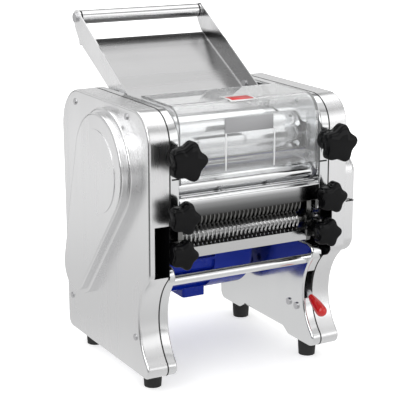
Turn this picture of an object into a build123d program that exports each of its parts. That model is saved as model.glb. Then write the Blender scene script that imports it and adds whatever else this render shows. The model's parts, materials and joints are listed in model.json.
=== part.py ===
from build123d import *
import os
from math import acos, atan2, cos, degrees, hypot, pi, radians, sin, sqrt, tan

# Electric pasta maker: a pair of sheeting rollers above a removable pasta cutter, driven by a belt
# and gears from a motor between two plated side frames.  Millimetres; X runs to the right, the front
# faces -Y, +Z is up, and the origin is on the table under the middle of the outer box.

os.makedirs("parts", exist_ok=True)

# ------------------------------------------------------------------ general
SHEET = 1.5                # thickness of the sheet steel casings and covers
SEAT = 0.3                 # gap where a loose piece sits beside another
RUN = 0.05                 # radial running clearance of a shaft in its bush
SCREW_FIT = 0.2            # radial clearance of a screw in its hole
EDGE_R = 3.2               # rounding along the outer edges of the casings

# ------------------------------------------------------------------ widths (X)
THROAT_HALF = 100.0        # from the middle to the polished face of an inner casing
INNER_DEPTH = 14.0         # width of the inner casing's front strip
COVER_DEPTH = 28.0         # width of the outer cover, up to its side panel
BULGE_HEIGHT = 19.5        # how far the pressed bulges stand out of the side panels
SEAM = 0.6                 # gap between inner casing and outer cover
PLATE_T = 11.0             # thickness of a frame plate

# ------------------------------------------------------------------ side outline (Y, Z)
TOP_Z = 358.0
BASE_Z = 22.0              # underside of the casings, on top of the feet
FRONT_Y = -138.0
REAR_TOP_Y = 120.0
REAR_BASE_Y = 113.0
FRONT_TOP_R = 40.0
REAR_TOP_R = 56.0
REAR_BASE_R = 12.0
TOE_Y = -144.6             # where toe and sole lines would meet
TOE_R = 11.0
RECESS = (-79.0, 95.0)     # where the two leg lines would meet behind the hollow of the leg
RECESS_R = 75.0
COVER_KNEE_Z = 156.3       # where the hollow's line meets the front of a cover
COVER_KNEE_R = 14.0
KNEE_Y = -126.5            # front of the inner casing's leg
KNEE_R = 5.0
KNEE_BASE_Z = 115.0        # well below the knee, clear of the leg
LEG_TOP_Z = 162.0
LEG_TOP_R = 12.0
NOTCH_Y = -86.0            # back of the notch for the cutter
NOTCH_Z = 211.0            # top of the notch
NOTCH_R = 8.0
NOTCH_LIP_R = 10.0
ARCH_Z = 31.0              # raised sole between the feet
ARCH_FRONT = (-70.0, -55.0)
ARCH_REAR = (46.0, 60.0)
ARCH_R = 9.0
FRAME_INSET = 0.5          # frame plate clear of the casing's rim

# ------------------------------------------------------------------ pressed bulges
BELT_TOP = (-32.0, 276.0)  # large end of the pear-shaped belt bulge
BELT_LOW = (50.0, 125.0)   # small end, over the motor shaft
LOWER_STEP_R = (74.0, 37.0)
UPPER_STEP_R = (68.5, 31.5)
LOWER_STEP_H = 9.5
DISC_H = 0.8               # shallow round pressing on the flat of the bulge
DISC_CENTRE = (-30.0, 271.0)
DISC_R = 53.0
BULGE_EDGE_R = 3.0
GEAR_BULGE_Y = (-134.0, 62.0)
GEAR_BULGE_Z = (146.0, 276.0)
GEAR_BULGE_R = 22.0
GEAR_BULGE_EDGE_R = 9.0
SEAM_SLOT_Z = 219.0
SLOT_H = 2.0

# ------------------------------------------------------------------ openings in the casings
DASH_Z = 276.5             # short slot across each front strip
DASH_X = (THROAT_HALF + 1.0, THROAT_HALF + 11.0)
LEFT_OPENING_X = 20.5      # width of the opening beside the notch, left cover
LEFT_OPENING_Z = (155.0, 220.0)
RIGHT_OPENING_X = 7.0
RIGHT_OPENING_Z = (148.0, 211.0)
LEVER_SLOT_Z = (84.0, 123.0)
LEVER_SLOT_BACK_Y = -96.0

# ------------------------------------------------------------------ feet
FOOT_X = THROAT_HALF + 16.6
FOOT_Y = (-93.1, 81.8)
FOOT_TOP_R = 12.5
FOOT_BASE_R = 11.0
FOOT_BORE_R = 6.5
FOOT_BORE_H = 9.0
FOOT_SCREW_R = 3.0
FOOT_HEAD_R = 5.5
FOOT_HEAD_H = 4.0
BRACKET_L = 26.0
BRACKET_W = 15.0
BRACKET_H = 14.0

# ------------------------------------------------------------------ cover fixings
COVER_FIX = ((73.4, 340.9), (-79.9, 346.5), (97.5, 68.7), (-97.4, 70.4))
STANDOFF_R = 6.0
COVER_SCREW_R = 2.0
COVER_HEAD_R = 4.2
COVER_HEAD_H = 1.8
COVER_SCREW_L = 12.0

# ------------------------------------------------------------------ tie rods
ROD_R = 6.0
FRONT_ROD = (-109.0, 140.0)
BACK_ROD = (80.0, 235.0)
TRAY_ROD_Y = 52.0
BOLT_R = 3.0
BOLT_L = 12.0
BOLT_HEAD_R = 5.0
BOLT_HEAD_H = 3.0

# ------------------------------------------------------------------ sheeting rollers
ROLLER_R = 26.0
ROLLER_PITCH = 54.0        # between the roller axes with the gap knobs at zero
FRONT_ROLLER = (-72.0, 304.9)
ROLLER_END_GAP = 1.7       # roller end to inner casing
JOURNAL_R = 11.0
SHAFT_R = 8.0
BUSH_WALL = 3.0
GAP_TRAVEL = 3.0           # how far the front roller can be drawn forward
BLOCK_L = 44.0             # bearing block, along Y
BLOCK_H = 33.4
WINDOW_FRONT_Y = -118.0    # front end of the bearing window

# ------------------------------------------------------------------ gears
PRESSURE_ANGLE = radians(20)
BACKLASH = 0.35
GEAR_W = 4.3
GEAR_GAP = 3.0             # from the frame plate to the gears
MESH_SLACK = 0.15          # added to each centre distance
TRAIN_MODULE = 3.0
ROLLER_TEETH = 18
UPPER_IDLER_TEETH = 23
LOWER_IDLER_TEETH = 18
CUTTER_DRIVE_TEETH = 8
DRIVE_MODULE = 2.0
DRIVEN_TEETH = 22
PINION_TEETH = 12
LAYSHAFT_ANGLE = radians(-112.8)   # direction from the rear roller to the layshaft
AXLE_R = 6.0
AXLE_HEAD_R = 9.0
AXLE_HEAD_H = 2.0

# ------------------------------------------------------------------ belt drive
BIG_PULLEY_R = 54.0
MOTOR_PULLEY_R = 13.5
PULLEY_FLANGE = 4.0
PULLEY_FLANGE_T = 1.6
BELT_W = 8.0
BELT_T = 6.0
BELT_SIDE = 0.4
PULLEY_GAP = 1.6           # from gear to pulley
LAYSHAFT_R = 7.0
MOTOR_SHAFT_R = 7.0
SPOKE_HOLES = 6
SPOKE_HOLE_R = 11.0

# ------------------------------------------------------------------ pasta cutter
CUTTER_Y = -106.0
CUTTER_LOW_Z = 195.0
CUTTER_MODULE = 2.0
CUTTER_TEETH = 12
RING_R = 14.0
CORE_R = 10.0
RING_PITCH = 6.0
RING_W = 2.6
RING_SIDES = 18
CORE_SIDES = 12
RINGS_MARGIN = 14.0        # from the inner casing to the middle of the outermost ring, at least
RINGS = 2 * int((THROAT_HALF - RINGS_MARGIN) / RING_PITCH) + 1   # the lower roller has one fewer
CUTTER_SHAFT_R = 5.0
CUTTER_GEAR_W = 3.4
CHEEK_T = 6.5              # end plates of the cutter unit
CHEEK_X = THROAT_HALF - 3.4          # outer face of an end plate
CHEEK_Y = (-126.0, -88.5)
CHEEK_Z = (168.0, 238.0)
CHEEK_R = 8.0
TIE_BAR_Y = (-126.0, -120.5)
TIE_BAR_Z = (172.0, 185.0)
REAR_BAR_R = 3.5
REAR_BAR = (-92.5, 174.5)
COMB_BAR_T = 4.0
FINGER_W = 2.0
EAR_T = 10.0               # lug on each end plate that the lower knob clamps
EAR_H = 20.0
EAR_FRONT_Y = -128.0
SLEEVE_R = 3.4             # sleeve round the lower stud, from the lug back to the frame
EAR_X = THROAT_HALF + 12.0

# ------------------------------------------------------------------ knobs
LOBES = 5
GRIP_T = 14.0
TOP_KNOB = (THROAT_HALF + 6.8, 304.9, -178.5, 25.0)  # X, Z, front face Y, radius over the lobes
MIDDLE_KNOB = (THROAT_HALF + 5.9, 233.5, -167.6, 20.5)
LOWER_KNOB = (THROAT_HALF + 4.2, 186.2, -161.7, 19.0)
HUB_SHARE = 0.52           # hub radius over lobe radius
SPINDLE_R = 3.5
KNOB_SCREW_R = 2.5
KNOB_SCREW_GRIP = 14.0     # how deep a knob's screw sits in the frame

# ------------------------------------------------------------------ feed tray
HANDLE = (168.5, 438.0)
HANDLE_END_R = 10.0
HANDLE_R = 9.3
HANDLE_BORE_R = 4.0
TRAY_X = THROAT_HALF - 3.5           # outer face of the side flanges
TRAY_T = 1.5
TRAY_FOOT = (12.0, 325.3)  # lower end of the floor's underside
TRAY_HEAD = (160.0, 405.8) # upper end of the floor's underside
TRAY_LIP_R = 3.5
FLANGE_SLOPE = radians(30.8)       # slope of the flanges' upper edge
FLANGE_FRONT_Y = -10.0
FLANGE_TOE = (-6.0, 322.0)
FLANGE_HEEL = (174.0, 424.0)
TRAY_SCREWS = ((4.0, 336.0), (40.0, 351.0))
TRAY_SCREW_R = 2.5

# ------------------------------------------------------------------ guard, scraper, cross plate
GUARD_T = 3.0
GUARD_TOP_Z = 361.5
GUARD_FRONT_Y = -134.2
GUARD_R = 27.0
GUARD_REAR_Y = -35.0
GUARD_BOTTOM_Z = 276.0
GUARD_END_W = 25.0
GUARD_END_BOTTOM_Z = 267.0
GUARD_SCREWS = ((-115.0, 281.4), (-81.5, 345.3))
GUARD_SCREW_R = 2.5
SCRAPER_T = 2.0
SCRAPER_TIP = (-86.0, 274.2)
SCRAPER_CROWN = (-121.0, 271.0)
SCRAPER_NOSE = (-129.5, 261.0)
SCRAPER_HEEL_Y = -115.0
SCRAPER_TOE_Y = -132.0
SCRAPER_HALF = THROAT_HALF - 3.8
SCRAPER_SCREW = (35.0, -127.3)
SCRAPER_SCREW_R = 1.6
CROSS_CREST = (-133.0, 250.5)
CROSS_FRONT_Y = -137.6
CROSS_FOOT_Z = 227.5
CROSS_BACK = (-58.0, 236.0)

# ------------------------------------------------------------------ motor
MOTOR_R = 55.0
FIN_H = 4.5
MOTOR_CORE_R = MOTOR_R - FIN_H
MOTOR_FINS = 18
MOTOR_FIN_W = 3.0
MOTOR_X = (-60.0, 24.0)
MOTOR_BELL_R = MOTOR_R + 1.0
MOTOR_SPIGOT_R = 30.0
MOTOR_FAN_X = 86.0
ROTOR_R = 30.0
FAN_COVER_EDGE_R = 9.0
FAN_SHIELD_T = 6.0
FAN_HOLES = 8
FAN_HOLE_R = 5.5
FAN_GAP = 5.0
FAN_W = 22.0
FAN_R = MOTOR_R - 11.0
FAN_BLADES = 6
MOTOR_FOOT_H = 8.0
BOX_X = (-12.0, 22.0)
BOX_Y = (20.0, 78.0)
BOX_DROP = 4.5             # how far the wiring box reaches below the fins
BOX_Z = BELT_LOW[1] - MOTOR_R - BOX_DROP

# ------------------------------------------------------------------ rear panel, gland
PANEL_GAP = 2.3            # from the motor to the rear panel
PANEL_Y = BELT_LOW[0] + MOTOR_BELL_R + PANEL_GAP
PANEL_Z = (104.0, 300.0)
PANEL_FLANGE = 16.0
PANEL_FLANGE_Z = 190.0     # the side flanges start above the motor
VENTS = 7
VENT_PITCH = 9.0
VENT_H = 3.5
VENT_L = 90.0
VENT_Z = 150.0
GLAND = (THROAT_HALF + 29.0, 52.0)
GLAND_R = 9.5
GLAND_BORE_R = 4.0
GLAND_OUT = 15.0

# ------------------------------------------------------------------ switch lever
LEVER_PIVOT = (-84.0, 104.0)
LEVER_X = THROAT_HALF + 7.0
LEVER_T = 5.0
LEVER_DROP = radians(27)   # below level when switched off
LEVER_L = 34.0
LEVER_W = 9.0
LEVER_HUB_R = 8.0
GRIP_L = 36.0
GRIP_R = 7.5
GRIP_NECK_R = 3.6
SWITCH_Y = (-87.0, -62.0)
SWITCH_Z = (63.0, 90.0)
SWITCH_ROOM = 0.5
SWITCH_SCREWS = ((-72.9, 70.5), (-91.4, 69.7))
SWITCH_EAR_TOP = 113.0
LEVER_PIN_R = 3.0

# ------------------------------------------------------------------ worked-out places
PLATE_X0 = THROAT_HALF + SHEET
PLATE_X1 = PLATE_X0 + PLATE_T
CASING_X1 = THROAT_HALF + INNER_DEPTH - SEAM / 2
COVER_X0 = THROAT_HALF + INNER_DEPTH + SEAM / 2
COVER_X1 = THROAT_HALF + INNER_DEPTH + COVER_DEPTH
BULGE_X = COVER_X1 + BULGE_HEIGHT
REAR_ROLLER = (FRONT_ROLLER[0] + ROLLER_PITCH, FRONT_ROLLER[1])
ROLLER_X = THROAT_HALF - ROLLER_END_GAP
GEAR_X0 = PLATE_X1 + GEAR_GAP
GEAR_X1 = GEAR_X0 + GEAR_W
SHAFT_END_X = GEAR_X1 + SEAT
CUTTER_TOP_Z = CUTTER_LOW_Z + CUTTER_MODULE * CUTTER_TEETH + MESH_SLACK / 2
TRAY_SLOPE = atan2(TRAY_HEAD[1] - TRAY_FOOT[1], TRAY_HEAD[0] - TRAY_FOOT[0])
LEVER_BORE_R = LEVER_PIN_R + RUN


# ================================================================== helpers
def outline(corners):
    """A closed face in (Y, Z) from corners (y, z, rounding)."""
    points = [(y, z) for y, z, r in corners]
    return make_face(FilletPolyline(*points, radius=[r for y, z, r in corners], close=True))


def along_x(face, x0, x1):
    """Extrude a (Y, Z) face from x0 to x1."""
    return extrude(Plane.YZ.offset(x0) * face, amount=x1 - x0)


def disc(centre, radius, x0, x1):
    """A round bar along X."""
    return along_x(Pos(*centre) * Circle(radius), x0, x1)


def bar_y(x, z, radius, y0, y1):
    """A round bar along Y."""
    return Pos(x, (y0 + y1) / 2, z) * Rot(90, 0, 0) * Cylinder(radius, y1 - y0)


def bar_z(x, y, radius, z0, z1):
    """A round bar along Z."""
    return Pos(x, y, (z0 + z1) / 2) * Cylinder(radius, z1 - z0)


def block(x0, x1, y0, y1, z0, z1):
    """A box from its two corners."""
    return Pos((x0 + x1) / 2, (y0 + y1) / 2, (z0 + z1) / 2) * Box(x1 - x0, y1 - y0, z1 - z0)


def to_left(shape):
    """The same piece on the left side."""
    return mirror(shape, about=Plane.YZ)


def group(*solids):
    """Separate solids kept in one node."""
    pieces = [s for item in solids for s in item.solids()]
    return Compound(children=pieces)


def shut_prism(face, x_open, x_shut, radius):
    """A prism whose edge round its shut end is rounded."""
    prism = along_x(face, min(x_open, x_shut), max(x_open, x_shut))
    ends = prism.faces().filter_by(Axis.X).sort_by(Axis.X)
    end = ends[-1] if x_shut > x_open else ends[0]
    return fillet(end.outer_wire().edges(), radius)


def pan(face, x_open, x_shut):
    """A folded sheet pan, open at one end."""
    inward = SHEET if x_shut < x_open else -SHEET
    ends = sorted((x_open, x_shut + inward))
    return shut_prism(face, x_open, x_shut, EDGE_R) - along_x(offset(face, amount=-SHEET), *ends)


def band(c1, r1, c2, r2):
    """The face inside a belt stretched round two circles."""
    reach = hypot(c2[0] - c1[0], c2[1] - c1[1])
    along = atan2(c2[1] - c1[1], c2[0] - c1[0])
    lean = acos((r1 - r2) / reach)
    upper, lower = along + lean, along - lean
    corners = [(c1[0] + r1 * cos(upper), c1[1] + r1 * sin(upper)),
               (c1[0] + r1 * cos(lower), c1[1] + r1 * sin(lower)),
               (c2[0] + r2 * cos(lower), c2[1] + r2 * sin(lower)),
               (c2[0] + r2 * cos(upper), c2[1] + r2 * sin(upper))]
    quad = make_face(Polyline(*corners, close=True))
    return quad + Pos(*c1) * Circle(r1) + Pos(*c2) * Circle(r2)


def polar(centre, radius, angle):
    """A point round a centre."""
    return (centre[0] + radius * cos(angle), centre[1] + radius * sin(angle))


def involute(angle):
    """Involute function."""
    return tan(angle) - angle


# ================================================================== gears
def gear_face(module, teeth, phase, centre):
    """A spur gear with three points to a flank; phase is where one tooth points."""
    pitch_r = module * teeth / 2
    base_r = pitch_r * cos(PRESSURE_ANGLE)
    tip_r = pitch_r + module
    root_r = pitch_r - 1.25 * module
    half = pi / 2 / teeth - BACKLASH / 2 / pitch_r

    def half_width(radius):
        if radius <= base_r:
            return half + involute(PRESSURE_ANGLE)
        return half + involute(PRESSURE_ANGLE) - involute(acos(base_r / radius))

    steps = [(root_r, half_width(root_r)), (pitch_r, half), (tip_r, half_width(tip_r))]
    points = []
    for tooth in range(teeth):
        middle = phase + 2 * pi * tooth / teeth
        points += [polar(centre, r, middle - w) for r, w in steps]
        points += [polar(centre, r, middle + w) for r, w in reversed(steps)]
    return make_face(Polyline(*points, close=True))


def meshed_phase(teeth_a, phase_a, centre_a, teeth_b, centre_b):
    """Phase that puts gear b in mesh with gear a."""
    line = atan2(centre_b[1] - centre_a[1], centre_b[0] - centre_a[0])
    return line + pi - (pi - teeth_a * (line - phase_a)) / teeth_b


def gear(module, teeth, phase, centre, bore_r, x0, x1):
    """A spur gear with a round bore."""
    return along_x(gear_face(module, teeth, phase, centre), x0, x1) - disc(centre, bore_r, x0, x1)


def centre_distance(module, teeth_a, teeth_b):
    """Distance between the axes of a meshed pair."""
    return module * (teeth_a + teeth_b) / 2 + MESH_SLACK


def idler_centres():
    """The lower idler is level with the cutter; the upper one closes the train."""
    reach = centre_distance(TRAIN_MODULE, LOWER_IDLER_TEETH, CUTTER_DRIVE_TEETH)
    lower = (CUTTER_Y + reach, CUTTER_LOW_Z)
    first = centre_distance(TRAIN_MODULE, ROLLER_TEETH, UPPER_IDLER_TEETH)
    second = centre_distance(TRAIN_MODULE, UPPER_IDLER_TEETH, LOWER_IDLER_TEETH)
    dy, dz = lower[0] - REAR_ROLLER[0], lower[1] - REAR_ROLLER[1]
    apart = hypot(dy, dz)
    along = (apart ** 2 + first ** 2 - second ** 2) / (2 * apart)
    aside = sqrt(first ** 2 - along ** 2)
    upper = (REAR_ROLLER[0] + (along * dy - aside * dz) / apart,
             REAR_ROLLER[1] + (along * dz + aside * dy) / apart)
    return upper, lower


UPPER_IDLER, LOWER_IDLER = idler_centres()
LAYSHAFT = polar(REAR_ROLLER, centre_distance(DRIVE_MODULE, DRIVEN_TEETH, PINION_TEETH), LAYSHAFT_ANGLE)
MOTOR = BELT_LOW
ROLLER_PHASE = 0.0
FRONT_PHASE = meshed_phase(ROLLER_TEETH, ROLLER_PHASE, REAR_ROLLER, ROLLER_TEETH, FRONT_ROLLER)
UPPER_PHASE = meshed_phase(ROLLER_TEETH, ROLLER_PHASE, REAR_ROLLER, UPPER_IDLER_TEETH, UPPER_IDLER)
LOWER_PHASE = meshed_phase(UPPER_IDLER_TEETH, UPPER_PHASE, UPPER_IDLER, LOWER_IDLER_TEETH, LOWER_IDLER)
CUTTER_LOW = (CUTTER_Y, CUTTER_LOW_Z)
CUTTER_TOP = (CUTTER_Y, CUTTER_TOP_Z)
CUTTER_DRIVE_PHASE = meshed_phase(LOWER_IDLER_TEETH, LOWER_PHASE, LOWER_IDLER,
                                  CUTTER_DRIVE_TEETH, CUTTER_LOW)
CUTTER_TOP_PHASE = meshed_phase(CUTTER_TEETH, 0.0, CUTTER_LOW, CUTTER_TEETH, CUTTER_TOP)
PINION_PHASE = meshed_phase(DRIVEN_TEETH, ROLLER_PHASE, REAR_ROLLER, PINION_TEETH, LAYSHAFT)


# ================================================================== side frames and casings
def shared_corners():
    """Corners that the casing and the cover have in common, from the top front round to the rear."""
    return [(FRONT_Y, TOP_Z, FRONT_TOP_R), (REAR_TOP_Y, TOP_Z, REAR_TOP_R),
            (REAR_BASE_Y, BASE_Z, REAR_BASE_R)]


def leg_corners():
    """Toe, hollow and knee of the leg."""
    return [(TOE_Y, BASE_Z, TOE_R), (*RECESS, RECESS_R), (FRONT_Y, COVER_KNEE_Z, COVER_KNEE_R)]


def cover_outline():
    """Outline of an outer cover."""
    return outline(shared_corners() + leg_corners())


def round_corner(face, y, z, radius):
    """Round the corner of a face nearest to (y, z)."""
    return fillet(face.vertices().sort_by_distance(Vector(y, z))[0], radius)


def casing_outline():
    """Outline of an inner casing, with its arched sole and the cutter notch."""
    arch = [(ARCH_REAR[1], BASE_Z, ARCH_R), (ARCH_REAR[0], ARCH_Z, ARCH_R),
            (ARCH_FRONT[1], ARCH_Z, ARCH_R), (ARCH_FRONT[0], BASE_Z, ARCH_R)]
    outside = FRONT_Y - NOTCH_R
    face = outline(shared_corners() + arch + leg_corners())
    face -= make_face(Polyline((outside, NOTCH_Z), (NOTCH_Y, NOTCH_Z), (NOTCH_Y, LEG_TOP_Z),
                               (KNEE_Y, LEG_TOP_Z), (KNEE_Y, KNEE_BASE_Z), (outside, KNEE_BASE_Z),
                               close=True))
    knee = face.vertices().filter_by(lambda v: abs(v.X - KNEE_Y) < SHEET and v.Y < LEG_TOP_Z - KNEE_R)
    face = fillet(knee.sort_by(Axis.Y)[-1], KNEE_R)
    face = round_corner(face, KNEE_Y, LEG_TOP_Z, LEG_TOP_R)
    face = round_corner(face, NOTCH_Y, LEG_TOP_Z, NOTCH_R)
    face = round_corner(face, NOTCH_Y, NOTCH_Z, NOTCH_R)
    return round_corner(face, FRONT_Y, NOTCH_Z, NOTCH_LIP_R)


def window(x0, x1, inset=0.0):
    """The space in which a front bearing block slides."""
    rear = FRONT_ROLLER[0] + BLOCK_L / 2 + SEAT - inset
    half = BLOCK_H / 2 + RUN
    return block(x0, x1, WINDOW_FRONT_Y, rear, FRONT_ROLLER[1] - half, FRONT_ROLLER[1] + half)


def frame_plate():
    """Right frame plate; the left one is its mirror image with other holes."""
    face = offset(casing_outline(), amount=-(SHEET + FRAME_INSET))
    plate = along_x(face, PLATE_X0, PLATE_X1) - window(PLATE_X0, PLATE_X1)
    plate -= disc(REAR_ROLLER, JOURNAL_R + BUSH_WALL + RUN, PLATE_X0, PLATE_X1)
    for rod in (FRONT_ROD, BACK_ROD, tray_rod()):
        plate -= disc(rod, BOLT_R + SCREW_FIT, PLATE_X0, PLATE_X1)
    for place in TRAY_SCREWS:
        plate -= disc(place, TRAY_SCREW_R + RUN, PLATE_X0, PLATE_X1)
    plate -= bar_y(TOP_KNOB[0], TOP_KNOB[1], SPINDLE_R + RUN, FRONT_Y, WINDOW_FRONT_Y)
    for x, z, seat_y in ((MIDDLE_KNOB[0], MIDDLE_KNOB[1], FRONT_Y),
                         (LOWER_KNOB[0], LOWER_KNOB[1], NOTCH_Y)):
        plate -= bar_y(x, z, KNOB_SCREW_R + SCREW_FIT, seat_y, seat_y + KNOB_SCREW_GRIP + SHEET + 2)
    return plate


def right_frame_plate():
    """The right plate gives room to the switch."""
    plate = frame_plate() - switch_room(PLATE_X0, PLATE_X1)
    return plate - disc(SWITCH_SCREWS[1], TRAY_SCREW_R + RUN, PLATE_X0, PLATE_X1)


def left_frame_plate():
    """The left plate carries layshaft and motor."""
    plate = to_left(frame_plate())
    plate -= disc(LAYSHAFT, LAYSHAFT_R + BUSH_WALL + RUN, -PLATE_X1, -PLATE_X0)
    plate -= disc(MOTOR, MOTOR_SHAFT_R + 3, -PLATE_X1, -PLATE_X0)
    for hole in motor_bolt_centres():
        plate -= disc(hole, BOLT_R + SCREW_FIT, -PLATE_X1, -PLATE_X0)
    return plate


def switch_room(x0, x1):
    """Room for the switch and, above it, the sweep of its lever."""
    y0, y1 = SWITCH_Y[0] - SWITCH_ROOM, SWITCH_Y[1] + SWITCH_ROOM
    top_z = SWITCH_EAR_TOP + 2 * LEVER_HUB_R
    room = block(x0, x1, y0, y1, SWITCH_Z[0] - SWITCH_ROOM, top_z)
    return room + block(x0, x1, FRONT_Y, y1, LEVER_SLOT_Z[0], top_z)


def inner_casing():
    """Polished pan over the right frame plate, right-hand version."""
    shell = pan(casing_outline(), CASING_X1, THROAT_HALF)
    shell -= window(THROAT_HALF, PLATE_X0)
    shell -= disc(REAR_ROLLER, JOURNAL_R + BUSH_WALL, THROAT_HALF, PLATE_X0)
    for rod in (FRONT_ROD, BACK_ROD, tray_rod()):
        shell -= disc(rod, ROD_R + SCREW_FIT, THROAT_HALF, PLATE_X0)
    for place in GUARD_SCREWS:
        shell -= disc(place, GUARD_SCREW_R + SCREW_FIT, THROAT_HALF, PLATE_X0)
    for place in TRAY_SCREWS:
        shell -= disc(place, TRAY_SCREW_R + SCREW_FIT, THROAT_HALF, PLATE_X0)
    shell -= block(*DASH_X, FRONT_Y, FRONT_Y + SHEET, DASH_Z - SLOT_H / 2, DASH_Z + SLOT_H / 2)
    shell -= bar_y(TOP_KNOB[0], TOP_KNOB[1], SPINDLE_R + SCREW_FIT, FRONT_Y, FRONT_Y + EDGE_R)
    shell -= bar_y(MIDDLE_KNOB[0], MIDDLE_KNOB[1], KNOB_SCREW_R + SCREW_FIT, FRONT_Y, FRONT_Y + EDGE_R)
    shell -= bar_y(LOWER_KNOB[0], LOWER_KNOB[1], KNOB_SCREW_R + SCREW_FIT, NOTCH_Y, NOTCH_Y + EDGE_R)
    for y in FOOT_Y:
        shell -= bar_z(FOOT_X, y, FOOT_SCREW_R + SCREW_FIT, BASE_Z, BASE_Z + SHEET)
    return shell


def right_inner_casing():
    """Slotted for the switch lever."""
    slot = block(LEVER_X - LEVER_T, CASING_X1, TOE_Y, LEVER_SLOT_BACK_Y, *LEVER_SLOT_Z)
    shell = inner_casing() - slot
    for place in SWITCH_SCREWS:
        shell -= disc(place, TRAY_SCREW_R + SCREW_FIT, THROAT_HALF, PLATE_X0)
    return shell


def left_inner_casing():
    """Bored for the motor shaft and the motor's bolts."""
    shell = to_left(inner_casing())
    shell -= disc(MOTOR, MOTOR_SHAFT_R + 3, -PLATE_X0, -THROAT_HALF)
    for hole in motor_bolt_centres():
        shell -= disc(hole, BOLT_R + SCREW_FIT, -PLATE_X0, -THROAT_HALF)
    return shell


def cover_shell():
    """Plain outer cover, right-hand version."""
    shell = pan(cover_outline(), COVER_X0, COVER_X1)
    for place in COVER_FIX:
        shell -= disc(place, COVER_SCREW_R + SCREW_FIT, COVER_X1 - SHEET, COVER_X1)
    for y in FOOT_Y:
        shell -= bar_z(FOOT_X, y, FOOT_SCREW_R + SCREW_FIT, BASE_Z, BASE_Z + SHEET)
    return shell


def pressing(face, x0, x1, radius):
    """Solid inside a pressed step, rounded round its flat."""
    return shut_prism(face, x0, x1, radius)


def left_outer_cover():
    """Belt cover: a pear-shaped bulge in two steps with a shallow round pressing on top."""
    step_x = COVER_X1 + LOWER_STEP_H
    flat_x = BULGE_X - DISC_H
    root_x = COVER_X1 - SHEET
    lower = band(BELT_TOP, LOWER_STEP_R[0], BELT_LOW, LOWER_STEP_R[1])
    upper = band(BELT_TOP, UPPER_STEP_R[0], BELT_LOW, UPPER_STEP_R[1])
    inner_r = BULGE_EDGE_R - SHEET
    lower_in = band(BELT_TOP, LOWER_STEP_R[0] - SHEET, BELT_LOW, LOWER_STEP_R[1] - SHEET)
    upper_in = band(BELT_TOP, UPPER_STEP_R[0] - SHEET, BELT_LOW, UPPER_STEP_R[1] - SHEET)
    shell = cover_shell()
    shell += pressing(lower, root_x, step_x, BULGE_EDGE_R)
    shell += pressing(upper, root_x, flat_x, BULGE_EDGE_R)
    shell += disc(DISC_CENTRE, DISC_R, flat_x - SHEET / 2, BULGE_X)
    shell -= pressing(lower_in, root_x - SHEET, step_x - SHEET, inner_r)
    shell -= pressing(upper_in, root_x - SHEET, flat_x - SHEET, inner_r)
    shell -= block(COVER_X0, COVER_X0 + LEFT_OPENING_X, FRONT_Y, FRONT_Y + SHEET + COVER_KNEE_R,
                   *LEFT_OPENING_Z)
    return to_left(shell)


def right_outer_cover():
    """Gear cover: a deep rounded bulge beside the cutter and a narrow opening for its drive gear."""
    y0, y1 = GEAR_BULGE_Y
    z0, z1 = GEAR_BULGE_Z
    root_x = COVER_X1 - SHEET
    face = outline([(y, z, GEAR_BULGE_R) for y, z in ((y0, z0), (y1, z0), (y1, z1), (y0, z1))])
    shell = cover_shell() + pressing(face, root_x, BULGE_X, GEAR_BULGE_EDGE_R)
    shell -= pressing(offset(face, amount=-SHEET), root_x - SHEET, BULGE_X - SHEET,
                      GEAR_BULGE_EDGE_R - SHEET)
    shell -= block(COVER_X0, COVER_X0 + RIGHT_OPENING_X, FRONT_Y, FRONT_Y + SHEET + COVER_KNEE_R,
                   *RIGHT_OPENING_Z)
    shell -= block(BULGE_X - GEAR_BULGE_EDGE_R - SLOT_H, BULGE_X, y0, y0 + 2 * GEAR_BULGE_EDGE_R,
                   SEAM_SLOT_Z - SLOT_H / 2, SEAM_SLOT_Z + SLOT_H / 2)
    shell -= bar_y(GLAND[0], GLAND[1], GLAND_R - 2 * SHEET + SCREW_FIT, REAR_BASE_Y - 6, REAR_TOP_Y)
    return shell


def cover_standoffs():
    """Spacers that carry the outer covers."""
    right = [disc(place, STANDOFF_R, PLATE_X1, COVER_X1 - SHEET)
             - disc(place, COVER_SCREW_R + RUN, COVER_X1 - SHEET - COVER_SCREW_L, COVER_X1 - SHEET)
             for place in COVER_FIX]
    return group(*right, *[to_left(item) for item in right])


def cover_screws():
    """Pan-head screws of the outer covers."""
    right = []
    for place in COVER_FIX:
        head = disc(place, COVER_HEAD_R, COVER_X1, COVER_X1 + COVER_HEAD_H)
        head = chamfer(head.faces().sort_by(Axis.X)[-1].edges(), COVER_HEAD_H / 2)
        right.append(head + disc(place, COVER_SCREW_R, COVER_X1 - COVER_SCREW_L, COVER_X1))
    return group(*right, *[to_left(item) for item in right])


def foot_brackets():
    """Blocks on the frame plates that take the foot screws."""
    right = []
    for y in FOOT_Y:
        z0 = BASE_Z + SHEET + SEAT
        piece = block(PLATE_X1, PLATE_X1 + BRACKET_W, y - BRACKET_L / 2, y + BRACKET_L / 2,
                      z0, z0 + BRACKET_H)
        right.append(piece - bar_z(FOOT_X, y, FOOT_SCREW_R + RUN, z0, z0 + BRACKET_H))
    return group(*right, *[to_left(item) for item in right])


def rubber_feet():
    """Tapered feet with a bore for the screw head."""
    right = []
    for y in FOOT_Y:
        foot = Pos(FOOT_X, y, BASE_Z / 2) * Cone(FOOT_BASE_R, FOOT_TOP_R, BASE_Z)
        foot -= bar_z(FOOT_X, y, FOOT_BORE_R, 0, FOOT_BORE_H)
        right.append(foot - bar_z(FOOT_X, y, FOOT_SCREW_R + RUN, 0, BASE_Z))
    return group(*right, *[to_left(item) for item in right])


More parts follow.
